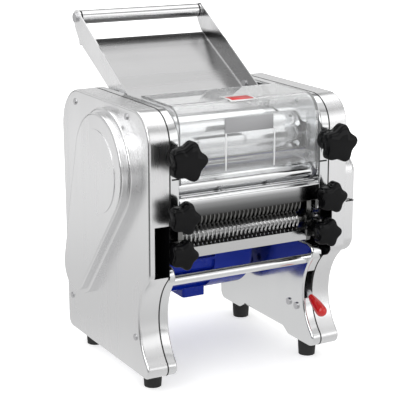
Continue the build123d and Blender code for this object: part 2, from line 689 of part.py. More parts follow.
def foot_screws():
    """Screws up through the feet."""
    right = []
    for y in FOOT_Y:
        head = bar_z(FOOT_X, y, FOOT_HEAD_R, FOOT_BORE_H - FOOT_HEAD_H, FOOT_BORE_H)
        shank = bar_z(FOOT_X, y, FOOT_SCREW_R, FOOT_BORE_H, BASE_Z + BRACKET_H)
        right.append(head + shank)
    return group(*right, *[to_left(item) for item in right])


# ================================================================== tie rods
def floor_under(y):
    """Height of the tray floor's underside at y."""
    return TRAY_FOOT[1] + (y - TRAY_FOOT[0]) * tan(TRAY_SLOPE)


def tray_rod():
    """Centre of the rod that the tray floor rests on."""
    return (TRAY_ROD_Y, floor_under(TRAY_ROD_Y) - (ROD_R + SEAT) / cos(TRAY_SLOPE))


def tie_rod(centre):
    """A rod between the frame plates, tapped at both ends."""
    rod = disc(centre, ROD_R, -PLATE_X0, PLATE_X0)
    rod -= disc(centre, BOLT_R + RUN, PLATE_X0 - BOLT_L, PLATE_X0)
    return rod - disc(centre, BOLT_R + RUN, -PLATE_X0, BOLT_L - PLATE_X0)


def tie_rod_bolts():
    """Bolts through the frame plates into the rods."""
    right = []
    for rod in (FRONT_ROD, BACK_ROD, tray_rod()):
        shank = disc(rod, BOLT_R, PLATE_X0 - BOLT_L + SEAT, PLATE_X1)
        right.append(shank + disc(rod, BOLT_HEAD_R, PLATE_X1, PLATE_X1 + BOLT_HEAD_H))
    return group(*right, *[to_left(item) for item in right])


# ================================================================== rollers
def roller_body(centre):
    """A sheeting roller with its journals; the front one and the rear one are alike."""
    roller = disc(centre, ROLLER_R, -ROLLER_X, ROLLER_X)
    roller = chamfer(roller.edges().filter_by(GeomType.CIRCLE), 1)
    return roller + disc(centre, JOURNAL_R, -PLATE_X1 - SEAT, PLATE_X1 + SEAT)


def rear_roller():
    """Driven roller: shaft stubs on both sides."""
    return roller_body(REAR_ROLLER) + disc(REAR_ROLLER, SHAFT_R, -SHAFT_END_X, SHAFT_END_X)


def front_roller():
    """Adjustable roller: one shaft stub, on the gear side."""
    return roller_body(FRONT_ROLLER) + disc(FRONT_ROLLER, SHAFT_R, 0, SHAFT_END_X)


def roller_bushes():
    """Bearing bushes of the rear roller."""
    ring = disc(REAR_ROLLER, JOURNAL_R + BUSH_WALL, PLATE_X0, PLATE_X1)
    ring -= disc(REAR_ROLLER, JOURNAL_R + RUN, PLATE_X0, PLATE_X1)
    return group(ring, to_left(ring))


def bearing_blocks():
    """Blocks that slide in the windows and carry the front roller."""
    y, z = FRONT_ROLLER
    piece = block(PLATE_X0 + RUN, PLATE_X1 - RUN, y - BLOCK_L / 2, y + BLOCK_L / 2,
                  z - BLOCK_H / 2, z + BLOCK_H / 2)
    piece -= disc(FRONT_ROLLER, JOURNAL_R + RUN, PLATE_X0, PLATE_X1)
    piece -= bar_y(TOP_KNOB[0], z, SPINDLE_R + RUN, y - BLOCK_L / 2, y - JOURNAL_R)
    return group(piece, to_left(piece))


def gap_springs():
    """Ridged springs round the gap spindles, ahead of the bearing blocks."""
    front = WINDOW_FRONT_Y + RUN
    rear = FRONT_ROLLER[0] - BLOCK_L / 2 - GAP_TRAVEL - SEAT
    turns = 5
    step = (rear - front) / turns
    outer = PLATE_T / 2 - SEAT
    ridge = []
    for turn in range(turns):
        ridge += [(outer - 1.2, front + turn * step), (outer, front + (turn + 0.5) * step)]
    ridge += [(outer - 1.2, rear), (SPINDLE_R + SEAT, rear), (SPINDLE_R + SEAT, front)]
    section = make_face(Polyline(*[(r, y) for r, y in ridge], close=True))
    spring = Pos(TOP_KNOB[0], 0, TOP_KNOB[1]) * revolve(section, Axis.Y)
    return group(spring, to_left(spring))


# ================================================================== gear train and belt
def train_gear(teeth, phase, centre, bore_r):
    """A gear of the right-hand train."""
    return gear(TRAIN_MODULE, teeth, phase, centre, bore_r, GEAR_X0, GEAR_X1)


def driven_gear():
    """Left-hand gear that turns the rear roller."""
    return gear(DRIVE_MODULE, DRIVEN_TEETH, ROLLER_PHASE, REAR_ROLLER, SHAFT_R, -GEAR_X1, -GEAR_X0)


def pinion_teeth():
    """Pinion cut on the layshaft."""
    return along_x(gear_face(DRIVE_MODULE, PINION_TEETH, PINION_PHASE, LAYSHAFT), -GEAR_X1, -GEAR_X0)


def idler_axles():
    """Headed stub axles of the two idlers."""
    axles = []
    for centre in (UPPER_IDLER, LOWER_IDLER):
        axle = disc(centre, AXLE_R, PLATE_X1, GEAR_X1 + SEAT + AXLE_HEAD_H)
        axle += disc(centre, AXLE_HEAD_R, GEAR_X1 + SEAT, GEAR_X1 + SEAT + AXLE_HEAD_H)
        axles.append(axle + disc(centre, AXLE_HEAD_R, PLATE_X1, GEAR_X0 - SEAT))
    return group(*axles)


PULLEY_X1 = SHAFT_END_X + PULLEY_GAP
PULLEY_X2 = PULLEY_X1 + 2 * PULLEY_FLANGE_T + BELT_W + 2 * BELT_SIDE


def pulley(centre, groove_r, bore_r):
    """A flanged pulley in the belt plane."""
    wheel = disc(centre, groove_r, -PULLEY_X2, -PULLEY_X1)
    wheel += disc(centre, groove_r + PULLEY_FLANGE, -PULLEY_X2, -PULLEY_X2 + PULLEY_FLANGE_T)
    wheel += disc(centre, groove_r + PULLEY_FLANGE, -PULLEY_X1 - PULLEY_FLANGE_T, -PULLEY_X1)
    return wheel - disc(centre, bore_r, -PULLEY_X2, -PULLEY_X1)


def big_pulley():
    """Layshaft pulley, lightened by a ring of holes."""
    wheel = pulley(LAYSHAFT, BIG_PULLEY_R, LAYSHAFT_R)
    for hole in range(SPOKE_HOLES):
        place = polar(LAYSHAFT, (BIG_PULLEY_R + LAYSHAFT_R) / 2 + 2, 2 * pi * hole / SPOKE_HOLES)
        wheel -= disc(place, SPOKE_HOLE_R, -PULLEY_X2, -PULLEY_X1)
    return wheel


def motor_pulley():
    """Small pulley on the motor shaft."""
    return pulley(MOTOR, MOTOR_PULLEY_R, MOTOR_SHAFT_R)


def layshaft():
    """Short shaft between the motor's belt and the rear roller's gear."""
    return disc(LAYSHAFT, LAYSHAFT_R, -PULLEY_X2 - SEAT, -PLATE_X0 - SEAT)


def layshaft_bush():
    """Bearing bush of the layshaft, with a flange towards the pinion."""
    bush = disc(LAYSHAFT, LAYSHAFT_R + BUSH_WALL, -PLATE_X1, -PLATE_X0)
    bush += disc(LAYSHAFT, LAYSHAFT_R + 1.5 * BUSH_WALL, -GEAR_X0 + SEAT, -PLATE_X1)
    return bush - disc(LAYSHAFT, LAYSHAFT_R + RUN, -GEAR_X0, -PLATE_X0)


def drive_belt():
    """Flat belt round both pulleys."""
    outer = band(LAYSHAFT, BIG_PULLEY_R + RUN + BELT_T, MOTOR, MOTOR_PULLEY_R + RUN + BELT_T)
    inner = band(LAYSHAFT, BIG_PULLEY_R + RUN, MOTOR, MOTOR_PULLEY_R + RUN)
    x0 = -PULLEY_X2 + PULLEY_FLANGE_T + BELT_SIDE
    return along_x(outer, x0, x0 + BELT_W) - along_x(inner, x0, x0 + BELT_W)


# ================================================================== pasta cutter
def cutter_roller(centre, rings, x_right):
    """A row of cutting rings on one core, with its shaft."""
    y, z = centre
    core = Pos(y, z) * RegularPolygon(CORE_R, CORE_SIDES)
    ring = Pos(y, z) * RegularPolygon(RING_R, RING_SIDES)
    half = (RINGS - 1) / 2 * RING_PITCH + RING_W / 2
    roller = along_x(core, -half, half)
    first = -(rings - 1) / 2 * RING_PITCH - RING_W / 2
    cutters = [along_x(ring, first + i * RING_PITCH, first + i * RING_PITCH + RING_W)
               for i in range(rings)]
    roller = roller.fuse(*cutters)
    left_end = -CHEEK_X + 1
    return roller + disc(centre, CUTTER_SHAFT_R, left_end, x_right)


def upper_cutter_roller():
    """Upper row, held between the end plates."""
    return cutter_roller(CUTTER_TOP, RINGS, CHEEK_X - 1)


def lower_cutter_roller():
    """Lower row, whose shaft runs out to the drive gear."""
    return cutter_roller(CUTTER_LOW, RINGS - 1, SHAFT_END_X)


def cutter_gear(centre, phase):
    """One of the pair of gears that turn the cutter rollers together."""
    x1 = -CHEEK_X + CHEEK_T + SEAT
    return gear(CUTTER_MODULE, CUTTER_TEETH, phase, centre, CUTTER_SHAFT_R, x1, x1 + CUTTER_GEAR_W)


def cutter_end_plates():
    """End plates of the cutter unit, with the lugs that the lower knobs clamp."""
    y0, y1 = CHEEK_Y
    z0, z1 = CHEEK_Z
    face = outline([(y, z, CHEEK_R) for y, z in ((y0, z0), (y1, z0), (y1, z1), (y0, z1))])
    plate = along_x(face, CHEEK_X - CHEEK_T, CHEEK_X)
    x, z = LOWER_KNOB[0], LOWER_KNOB[1]
    ear_y = EAR_FRONT_Y
    plate += block(CHEEK_X - CHEEK_T, EAR_X, ear_y, ear_y + EAR_T, z - EAR_H / 2, z + EAR_H / 2)
    plate += bar_y(x, z, SLEEVE_R, ear_y + EAR_T, NOTCH_Y - SEAT)
    plate -= bar_y(x, z, KNOB_SCREW_R + RUN, ear_y, NOTCH_Y)
    plate -= disc(CUTTER_TOP, CUTTER_SHAFT_R + RUN, CHEEK_X - CHEEK_T, CHEEK_X)
    plate -= disc(CUTTER_LOW, CUTTER_SHAFT_R + RUN, CHEEK_X - CHEEK_T, EAR_X)
    return group(plate, to_left(plate))


def cutter_bars():
    """Flat front bar and round rear bar between the end plates."""
    end = CHEEK_X - CHEEK_T
    return group(block(-end, end, *TIE_BAR_Y, *TIE_BAR_Z), disc(REAR_BAR, REAR_BAR_R, -end, end))


def comb(centre, bar_z0, tip_side, rings, bar_y1):
    """A bar with one finger for each groove, ending just off the core."""
    y, z = centre
    end = CHEEK_X - CHEEK_T
    bar = block(-end, end, bar_y1 - COMB_BAR_T, bar_y1, bar_z0, bar_z0 + COMB_BAR_T)
    bar_mid = bar_z0 + COMB_BAR_T / 2
    near = (y - CORE_R * 0.62, z + tip_side * CORE_R * 0.78)
    low = (y - CORE_R - 1.2, z + tip_side * 1.5)
    face = make_face(Polyline((bar_y1, bar_mid), near, low, (bar_y1 - COMB_BAR_T, bar_mid),
                              close=True))
    first = -(rings - 1) / 2 * RING_PITCH - FINGER_W / 2
    fingers = [along_x(face, first + i * RING_PITCH, first + i * RING_PITCH + FINGER_W)
               for i in range(rings)]
    return bar.fuse(*fingers) - disc(centre, CORE_R + SEAT, -end, end)


def upper_comb():
    """Strips the pasta off the upper rings."""
    return comb(CUTTER_TOP, CUTTER_TOP_Z + RING_R - 1.0, 1, RINGS - 1, CUTTER_Y - 12.0)


def lower_comb():
    """Strips the pasta off the lower rings, behind the flat bar."""
    return comb(CUTTER_LOW, TIE_BAR_Z[0] + 3.0, -1, RINGS - 2, TIE_BAR_Y[1] + COMB_BAR_T + SEAT)


# ================================================================== knobs
def star_grip(x, z, face_y, lobe_r):
    """Five-lobed grip with a round hub behind it."""
    lobe = lobe_r * 0.30
    reach = lobe_r - lobe
    face = Circle(lobe_r * 0.70)
    for index in range(LOBES):
        angle = pi / 2 + 2 * pi * index / LOBES
        face += Pos(reach * cos(angle), reach * sin(angle)) * Circle(lobe)
    valleys = [v for v in face.vertices()]
    face = fillet(valleys, lobe_r * 0.16)
    grip = extrude(Plane(origin=(x, face_y, z), x_dir=(1, 0, 0), z_dir=(0, 1, 0)) * face, GRIP_T)
    return chamfer(grip.faces().sort_by(Axis.Y)[0].edges(), 1.4)


def knob(place, seat_y, bore_r):
    """A star knob with its hub, bored from behind."""
    x, z, face_y, lobe_r = place
    body = star_grip(x, z, face_y, lobe_r)
    body += bar_y(x, z, lobe_r * HUB_SHARE, face_y + GRIP_T / 2, seat_y)
    return body - bar_y(x, z, bore_r, face_y + GRIP_T, seat_y)


def stud(place, radius, end_y, start=0.0):
    """A threaded rod from a knob's grip back to end_y."""
    x, z, face_y, lobe_r = place
    return bar_y(x, z, radius, face_y + GRIP_T + start, end_y)


def knob_studs():
    """Studs fixed in the frame plates for the middle and the lower knobs."""
    right = [stud(MIDDLE_KNOB, KNOB_SCREW_R, FRONT_Y + SHEET + KNOB_SCREW_GRIP, 1.0),
             stud(LOWER_KNOB, KNOB_SCREW_R, NOTCH_Y + KNOB_SCREW_GRIP, 1.0)]
    return group(*right, *[to_left(item) for item in right])


SPINDLE_END_Y = FRONT_ROLLER[0] - JOURNAL_R - GAP_TRAVEL - 1.0


# ================================================================== feed tray
def flange_corners():
    """Side outline of a flange, without the round end at the handle."""
    top = (HANDLE[0] - HANDLE_END_R * sin(FLANGE_SLOPE), HANDLE[1] + HANDLE_END_R * cos(FLANGE_SLOPE))
    front_z = top[1] - (top[0] - FLANGE_FRONT_Y) * tan(FLANGE_SLOPE)
    back = (HANDLE[0] + HANDLE_END_R, HANDLE[1])
    return [(FLANGE_FRONT_Y, front_z), top, HANDLE, back, FLANGE_HEEL, TRAY_HEAD, TRAY_FOOT, FLANGE_TOE]


def above_floor(place, height):
    """A point square above the floor's underside."""
    return (place[0] - sin(TRAY_SLOPE) * height, place[1] + cos(TRAY_SLOPE) * height)


def feed_tray():
    """Folded tray: floor, two side flanges with round upper ends, and a rolled upper lip."""
    flange = make_face(Polyline(*flange_corners(), close=True))
    flange += Pos(*HANDLE) * Circle(HANDLE_END_R)
    flange -= Pos(*REAR_ROLLER) * Circle(ROLLER_R + 2)
    flange -= Pos(*HANDLE) * Circle(HANDLE_BORE_R)
    for place in TRAY_SCREWS:
        flange -= Pos(*place) * Circle(TRAY_SCREW_R + SCREW_FIT)
    tray = along_x(flange, TRAY_X - TRAY_T, TRAY_X)
    tray += to_left(tray)
    floor = make_face(Polyline(TRAY_FOOT, TRAY_HEAD, above_floor(TRAY_HEAD, TRAY_T),
                               above_floor(TRAY_FOOT, TRAY_T), close=True))
    tray += along_x(floor, TRAY_T - TRAY_X, TRAY_X - TRAY_T)
    lip = above_floor(TRAY_HEAD, TRAY_T - TRAY_LIP_R)
    return tray + disc(lip, TRAY_LIP_R, TRAY_T - TRAY_X, TRAY_X - TRAY_T)


def handle_tube():
    """Free-turning tube between the tray's flanges."""
    end = TRAY_X - TRAY_T - SEAT
    return disc(HANDLE, HANDLE_R, -end, end) - disc(HANDLE, HANDLE_BORE_R + RUN, -end, end)


def handle_axle():
    """Axle through tube and flanges, with a cap nut at each end."""
    axle = disc(HANDLE, HANDLE_BORE_R, -TRAY_X, TRAY_X)
    cap = disc(HANDLE, HANDLE_BORE_R + 2.5, TRAY_X, TRAY_X + 3.0)
    return axle + cap + to_left(cap)


def tray_screws():
    """Screws with spacers that hold the flanges to the inner casings."""
    right = []
    for place in TRAY_SCREWS:
        screw = disc(place, TRAY_SCREW_R, TRAY_X - TRAY_T - 2, PLATE_X1)
        screw += disc(place, TRAY_SCREW_R * 1.9, TRAY_X - TRAY_T - 2.2, TRAY_X - TRAY_T)
        right.append(screw + disc(place, TRAY_SCREW_R * 1.7, TRAY_X, THROAT_HALF))
    return group(*right, *[to_left(item) for item in right])


# ================================================================== guard, scraper, cross plate
def sheet_path(points, radii, thickness, x_half):
    """A bent sheet across the machine, with the given mid line."""
    line = FilletPolyline(*points, radius=radii)
    face = offset(line, amount=thickness / 2, kind=Kind.INTERSECTION)
    face = make_face(face) if not face.faces() else face
    return along_x(face, -x_half, x_half)


def guard_profile(inset):
    """Corners of the guard's outline, drawn in by inset."""
    return [(GUARD_REAR_Y, GUARD_TOP_Z - inset), (GUARD_FRONT_Y + inset, GUARD_TOP_Z - inset),
            (GUARD_FRONT_Y + inset, GUARD_BOTTOM_Z)]


def guard_skin(inset, x0, x1, depth):
    """Top and front wall of the guard as one bent band of the given depth."""
    outer = guard_profile(inset)
    corners = [(*outer[0], 0), (*outer[1], GUARD_R - inset), (*outer[2], 0),
               (outer[2][0] + depth, outer[2][1], 0),
               (outer[1][0] + depth, outer[1][1] - depth, max(GUARD_R - inset - depth, 1)),
               (outer[0][0], outer[0][1] - depth, 0)]
    return along_x(bent_face(corners), x0, x1)


def bent_face(corners):
    """A closed face whose corners may be sharp."""
    face = make_face(Polyline(*[(y, z) for y, z, r in corners], close=True))
    for y, z, r in corners:
        if r:
            face = round_corner(face, y, z, r)
    return face


def guard():
    """Clear bent guard with an end wall at each side."""
    half = THROAT_HALF - SEAT
    shell = guard_skin(0, -half, half, GUARD_T)
    y1 = GUARD_FRONT_Y + GUARD_END_W
    end = guard_skin(0, half - GUARD_T, half, GUARD_END_W)
    end += block(half - GUARD_T, half, GUARD_FRONT_Y, y1, GUARD_END_BOTTOM_Z, GUARD_BOTTOM_Z)
    for place in GUARD_SCREWS:
        end -= disc(place, GUARD_SCREW_R + SCREW_FIT, half - GUARD_T, half)
    return shell + end + to_left(end)


def guard_screws():
    """Screws that hold the guard's end walls."""
    right = []
    for place in GUARD_SCREWS:
        inner = THROAT_HALF - SEAT - GUARD_T
        screw = disc(place, GUARD_SCREW_R, inner, PLATE_X0 - RUN)
        right.append(screw + disc(place, GUARD_SCREW_R * 1.8, inner - 2.4, inner))
    return group(*right, *[to_left(item) for item in right])


def on_cross_plate(y):
    """Middle of a scraper that lies on the cross plate, at y."""
    slope = atan2(CROSS_CREST[1] - CROSS_BACK[1], CROSS_CREST[0] - CROSS_BACK[0])
    z = CROSS_BACK[1] + (y - CROSS_BACK[0]) * tan(slope)
    return (y, z - (SHEET + SCRAPER_T) / 2 / cos(slope))


def scraper_screw_holes(radius):
    """Holes for the two scraper screws."""
    x, y = SCRAPER_SCREW
    z = on_cross_plate(y)[1]
    hole = bar_z(x, y, radius, z - 2 * SCRAPER_T, z + 2 * SCRAPER_T)
    return hole + to_left(hole)


def scraper_screws():
    """Screws through scraper and cross plate."""
    x, y = SCRAPER_SCREW
    z = on_cross_plate(y)[1] + SCRAPER_T / 2 + 2 * SEAT
    head_r = 1.9 * SCRAPER_SCREW_R
    screw = bar_z(x, y, SCRAPER_SCREW_R, z - 7, z) + bar_z(x, y, head_r, z, z + 1.6)
    return group(screw, to_left(screw))


def roller_scraper():
    """Bent scraper under the front roller."""
    line = [SCRAPER_TIP, SCRAPER_CROWN, SCRAPER_NOSE, on_cross_plate(SCRAPER_HEEL_Y),
            on_cross_plate(SCRAPER_TOE_Y)]
    sheet = sheet_path(line, [8, 7, 1.2], SCRAPER_T, SCRAPER_HALF)
    return sheet - scraper_screw_holes(SCRAPER_SCREW_R + SCREW_FIT)


def cross_plate():
    """Bent plate across the machine, under the place where the pasta sheet comes out."""
    front_y = CROSS_FRONT_Y + SHEET / 2
    sheet = sheet_path([CROSS_BACK, CROSS_CREST, (front_y, CROSS_CREST[1] - 3.5),
                        (front_y, CROSS_FOOT_Z)], [5, 2], SHEET, THROAT_HALF)
    return sheet - scraper_screw_holes(SCRAPER_SCREW_R + SCREW_FIT)


# ================================================================== motor
def motor_bolt_centres():
    """Four bolts of the motor's flange."""
    return [polar(MOTOR, MOTOR_BELL_R - 7, radians(45 + 90 * i)) for i in range(4)]


def motor_housing():
    """Finned middle of the motor, thick enough to hold the windings."""
    face = Circle(MOTOR_CORE_R)
    for fin in range(MOTOR_FINS):
        face += Rot(0, 0, 360 / MOTOR_FINS * fin) * (Pos(MOTOR_R - FIN_H, 0) * Rectangle(2 * FIN_H, MOTOR_FIN_W))
    return along_x(Pos(*MOTOR) * face, *MOTOR_X) - disc(MOTOR, ROTOR_R + SEAT, *MOTOR_X)


def motor_bell():
    """End bell with the flange that bolts to the left frame."""
    x0, x1 = -THROAT_HALF, MOTOR_X[0]
    bell = disc(MOTOR, MOTOR_CORE_R - 2, x0, x1)
    bell += disc(MOTOR, MOTOR_BELL_R, x0, x0 + MOTOR_FOOT_H)
    bell += disc(MOTOR, MOTOR_BELL_R, x1 - MOTOR_FOOT_H, x1)
    bell -= disc(MOTOR, MOTOR_SHAFT_R + RUN, x0, x1)
    bell -= disc(MOTOR, MOTOR_CORE_R - MOTOR_FOOT_H, x0 + MOTOR_FOOT_H, x1)
    for place in motor_bolt_centres():
        bell -= disc(place, BOLT_R + RUN, x0, x0 + MOTOR_FOOT_H)
    return bell


def motor_bolts():
    """Bolts that hold the motor's flange to the left frame plate."""
    bolts = []
    for place in motor_bolt_centres():
        shank = disc(place, BOLT_R, -PLATE_X1, -THROAT_HALF + MOTOR_FOOT_H)
        bolts.append(shank + disc(place, BOLT_HEAD_R, -PLATE_X1 - BOLT_HEAD_H, -PLATE_X1))
    return group(*bolts)


def fan_cover():
    """Rounded cover over the motor's fan, with a ring of holes in its end."""
    x0, x1 = MOTOR_X[1], MOTOR_FAN_X
    cover = disc(MOTOR, MOTOR_R, x0, x1)
    cover = fillet(cover.faces().sort_by(Axis.X)[-1].edges(), FAN_COVER_EDGE_R)
    inner = disc(MOTOR, MOTOR_R - SHEET, x0 + FAN_SHIELD_T, x1 - SHEET)
    inner = chamfer(inner.faces().sort_by(Axis.X)[-1].edges(), FAN_COVER_EDGE_R * 0.6)
    cover -= inner + disc(MOTOR, MOTOR_SHAFT_R + RUN, x0, x1 - SHEET)
    for index in range(FAN_HOLES):
        place = polar(MOTOR, MOTOR_R * 0.55, 2 * pi * index / FAN_HOLES)
        cover -= disc(place, FAN_HOLE_R, x1 - SHEET, x1)
    return cover


def cooling_fan():
    """Straight-bladed fan on the end of the motor shaft."""
    x0 = MOTOR_X[1] + FAN_SHIELD_T + FAN_GAP
    x1 = x0 + FAN_W
    fan = disc(MOTOR, MOTOR_SHAFT_R + BUSH_WALL, x0, x1) + disc(MOTOR, FAN_R, x0, x0 + SHEET)
    for index in range(FAN_BLADES):
        blade = Pos(FAN_R / 2 + MOTOR_SHAFT_R / 2, 0) * Rectangle(FAN_R - MOTOR_SHAFT_R - SHEET, SHEET)
        fan += along_x(Pos(*MOTOR) * Rot(0, 0, 360 / FAN_BLADES * index) * blade, x0, x1)
    return fan - disc(MOTOR, MOTOR_SHAFT_R, x0, x1)


def terminal_box():
    """Wiring box under the motor."""
    box = block(*BOX_X, *BOX_Y, BOX_Z, MOTOR[1] - MOTOR_CORE_R * 0.7)
    box = fillet(box.edges().filter_by(Axis.Z), 4)
    return box - disc(MOTOR, MOTOR_R + RUN, *BOX_X)


def motor_shaft():
    """Motor shaft with its rotor, from the pulley through to the fan."""
    fan_x = MOTOR_X[1] + FAN_SHIELD_T + FAN_GAP + FAN_W
    shaft = disc(MOTOR, MOTOR_SHAFT_R, -PULLEY_X2 - SEAT, fan_x)
    return shaft + disc(MOTOR, ROTOR_R, MOTOR_X[0] + FAN_GAP, MOTOR_X[1] - FAN_GAP)


# ================================================================== rear panel, gland, switch
def rear_panel():
    """Folded rear panel with ventilation slots."""
    half = THROAT_HALF
    z0, z1 = PANEL_Z
    panel = block(-half, half, PANEL_Y, PANEL_Y + SHEET, z0, z1)
    flange = block(half - SHEET, half, PANEL_Y - PANEL_FLANGE, PANEL_Y + SHEET, PANEL_FLANGE_Z, z1)
    panel += flange + to_left(flange)
    for index in range(VENTS):
        z = VENT_Z + index * VENT_PITCH
        panel -= block(-VENT_L / 2, VENT_L / 2, PANEL_Y, PANEL_Y + SHEET, z, z + VENT_H)
    return panel


def cable_gland():
    """Gland for the supply cord, at the back of the gear cover."""
    x, z = GLAND
    y0 = REAR_BASE_Y + (REAR_TOP_Y - REAR_BASE_Y) * (z - BASE_Z) / (TOP_Z - BASE_Z) + SEAT
    gland = bar_y(x, z, GLAND_R, y0, y0 + 4)
    gland += bar_y(x, z, GLAND_R - 2 * SHEET, y0 - 10, y0 + GLAND_OUT)
    gland += bar_y(x, z, GLAND_R, y0 - 2 * SHEET - 2 - 4, y0 - 2 * SHEET - 2)
    return gland - bar_y(x, z, GLAND_BORE_R, y0 - 10, y0 + GLAND_OUT)


def switch_body():
    """Switch block with two ears for the lever's pin."""
    y0, y1 = SWITCH_Y
    body = block(PLATE_X0, PLATE_X1, y0, y1, *SWITCH_Z)
    ear = (LEVER_T / 2 + SEAT, LEVER_T / 2 + SEAT + 1.8)
    for sign in (-1, 1):
        xs = sorted((LEVER_X + sign * ear[0], LEVER_X + sign * ear[1]))
        body += block(*xs, LEVER_PIVOT[0] - 9, LEVER_PIVOT[0] + 9, SWITCH_Z[1], SWITCH_EAR_TOP)
    body -= disc(LEVER_PIVOT, LEVER_PIN_R, PLATE_X0, PLATE_X1)
    return body - disc(SWITCH_SCREWS[0], TRAY_SCREW_R + RUN, PLATE_X0, PLATE_X1)


def switch_screws():
    """Pan-head screws of the switch."""
    screws = []
    for place in SWITCH_SCREWS:
        screw = disc(place, TRAY_SCREW_R, THROAT_HALF, PLATE_X1)
        screws.append(screw + disc(place, TRAY_SCREW_R * 1.9, THROAT_HALF - 2, THROAT_HALF))
    return group(*screws)


def lever_pin():
    """Pin that the lever swings on."""
    half = LEVER_T / 2 + SEAT + 1.8
    return disc(LEVER_PIVOT, LEVER_PIN_R, LEVER_X - half, LEVER_X + half)


def lever_point(distance, aside=0.0):
    """A point along the lever, aside above it."""
    y, z = LEVER_PIVOT
    return (y - distance * cos(LEVER_DROP) - aside * sin(LEVER_DROP),
            z - distance * sin(LEVER_DROP) + aside * cos(LEVER_DROP))


def switch_lever():
    """Steel arm of the main switch."""
    half = LEVER_W / 2
    arm = make_face(Polyline(lever_point(0, -half), lever_point(LEVER_L, -half + 1),
                             lever_point(LEVER_L, half - 1), lever_point(0, half), close=True))
    arm += Pos(*LEVER_PIVOT) * Circle(LEVER_HUB_R)
    arm -= Pos(*LEVER_PIVOT) * Circle(LEVER_BORE_R)
    lever = along_x(arm, LEVER_X - LEVER_T / 2, LEVER_X + LEVER_T / 2)
    return lever


def switch_grip():
    """Teardrop grip on the end of the arm."""
    ball = (GRIP_L - GRIP_R, GRIP_R)
    side = TangentArc(ball, (0, GRIP_NECK_R), tangent=(-1, 0))
    tip = ThreePointArc(ball, (ball[0] + GRIP_R * sin(pi / 4), GRIP_R * cos(pi / 4)), (GRIP_L, 0))
    section = make_face([Line((GRIP_L, 0), (0, 0)), Line((0, 0), (0, GRIP_NECK_R)), side, tip])
    drop = revolve(section, Axis.X)
    place = lever_point(LEVER_L)
    turn = Plane(origin=(LEVER_X, place[0], place[1]), x_dir=(0, -cos(LEVER_DROP), -sin(LEVER_DROP)),
                 z_dir=(1, 0, 0))
    return turn * drop


# ================================================================== write every node
def nodes():
    """Every node by name."""
    yield "left_frame_plate", left_frame_plate()
    yield "right_frame_plate", right_frame_plate()
    yield "left_inner_casing", left_inner_casing()
    yield "right_inner_casing", right_inner_casing()
    yield "left_outer_cover", left_outer_cover()
    yield "right_outer_cover", right_outer_cover()
    yield "cover_standoffs", cover_standoffs()
    yield "foot_brackets", foot_brackets()
    yield "rubber_feet", rubber_feet()
    yield "tie_rods", group(tie_rod(FRONT_ROD), tie_rod(BACK_ROD), tie_rod(tray_rod()))
    yield "frame_bolts", group(tie_rod_bolts(), motor_bolts())
    yield "rear_roller", rear_roller()
    yield "front_roller", front_roller()
    yield "roller_bushes", roller_bushes()
    yield "bearing_blocks", bearing_blocks()
    yield "gap_springs", gap_springs()
    yield "rear_roller_gear", train_gear(ROLLER_TEETH, ROLLER_PHASE, REAR_ROLLER, SHAFT_R)
    yield "front_roller_gear", train_gear(ROLLER_TEETH, FRONT_PHASE, FRONT_ROLLER, SHAFT_R)
    yield "upper_idler_gear", train_gear(UPPER_IDLER_TEETH, UPPER_PHASE, UPPER_IDLER, AXLE_R + RUN)
    yield "lower_idler_gear", train_gear(LOWER_IDLER_TEETH, LOWER_PHASE, LOWER_IDLER, AXLE_R + RUN)
    yield "cutter_drive_gear", train_gear(CUTTER_DRIVE_TEETH, CUTTER_DRIVE_PHASE, CUTTER_LOW,
                                          CUTTER_SHAFT_R)
    yield "idler_axles", idler_axles()
    yield "driven_gear", driven_gear()
    yield "layshaft", layshaft() + pinion_teeth()
    yield "layshaft_bush", layshaft_bush()
    yield "big_pulley", big_pulley()
    yield "motor_pulley", motor_pulley()
    yield "drive_belt", drive_belt()
    yield "motor_shaft", motor_shaft()
    yield "motor_housing", motor_housing()
    yield "motor_bell", motor_bell()
    yield "fan_cover", fan_cover()
    yield "cooling_fan", cooling_fan()
    yield "terminal_box", terminal_box()
    yield "upper_cutter_roller", group(upper_cutter_roller(), cutter_gear(CUTTER_TOP, CUTTER_TOP_PHASE))
    yield "lower_cutter_roller", group(lower_cutter_roller(), cutter_gear(CUTTER_LOW, 0.0))
    yield "cutter_end_plates", cutter_end_plates()
    yield "cutter_bars", cutter_bars()
    yield "cutter_combs", group(upper_comb(), lower_comb())
    for side, turn in (("left", to_left), ("right", lambda shape: shape)):
        yield f"{side}_gap_knob", turn(knob(TOP_KNOB, FRONT_Y - SEAT, SPINDLE_R))
        yield f"{side}_gap_spindle", turn(stud(TOP_KNOB, SPINDLE_R, SPINDLE_END_Y))
        yield f"{side}_plate_knob", turn(knob(MIDDLE_KNOB, FRONT_Y - SEAT, KNOB_SCREW_R + RUN))
        yield f"{side}_cutter_knob", turn(knob(LOWER_KNOB, EAR_FRONT_Y - SEAT, KNOB_SCREW_R + RUN))
    yield "knob_studs", knob_studs()
    yield "feed_tray", feed_tray()
    yield "handle_tube", handle_tube()
    yield "handle_axle", handle_axle()
    yield "casing_screws", group(cover_screws(), foot_screws(), tray_screws(), guard_screws(),
                                 switch_screws(), lever_pin(), scraper_screws())
    yield "guard", guard()
    yield "roller_scraper", roller_scraper()
    yield "cross_plate", cross_plate()
    yield "rear_panel", rear_panel()
    yield "cable_gland", cable_gland()
    yield "switch_body", switch_body()
    yield "switch_lever", switch_lever()
    yield "switch_grip", switch_grip()


for name, shape in nodes():
    export_step(shape, f"parts/{name}.step")
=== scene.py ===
import json
import math

import bmesh
import bpy
from bpy.props import FloatProperty, FloatVectorProperty, IntProperty
from mathutils import Matrix, Vector

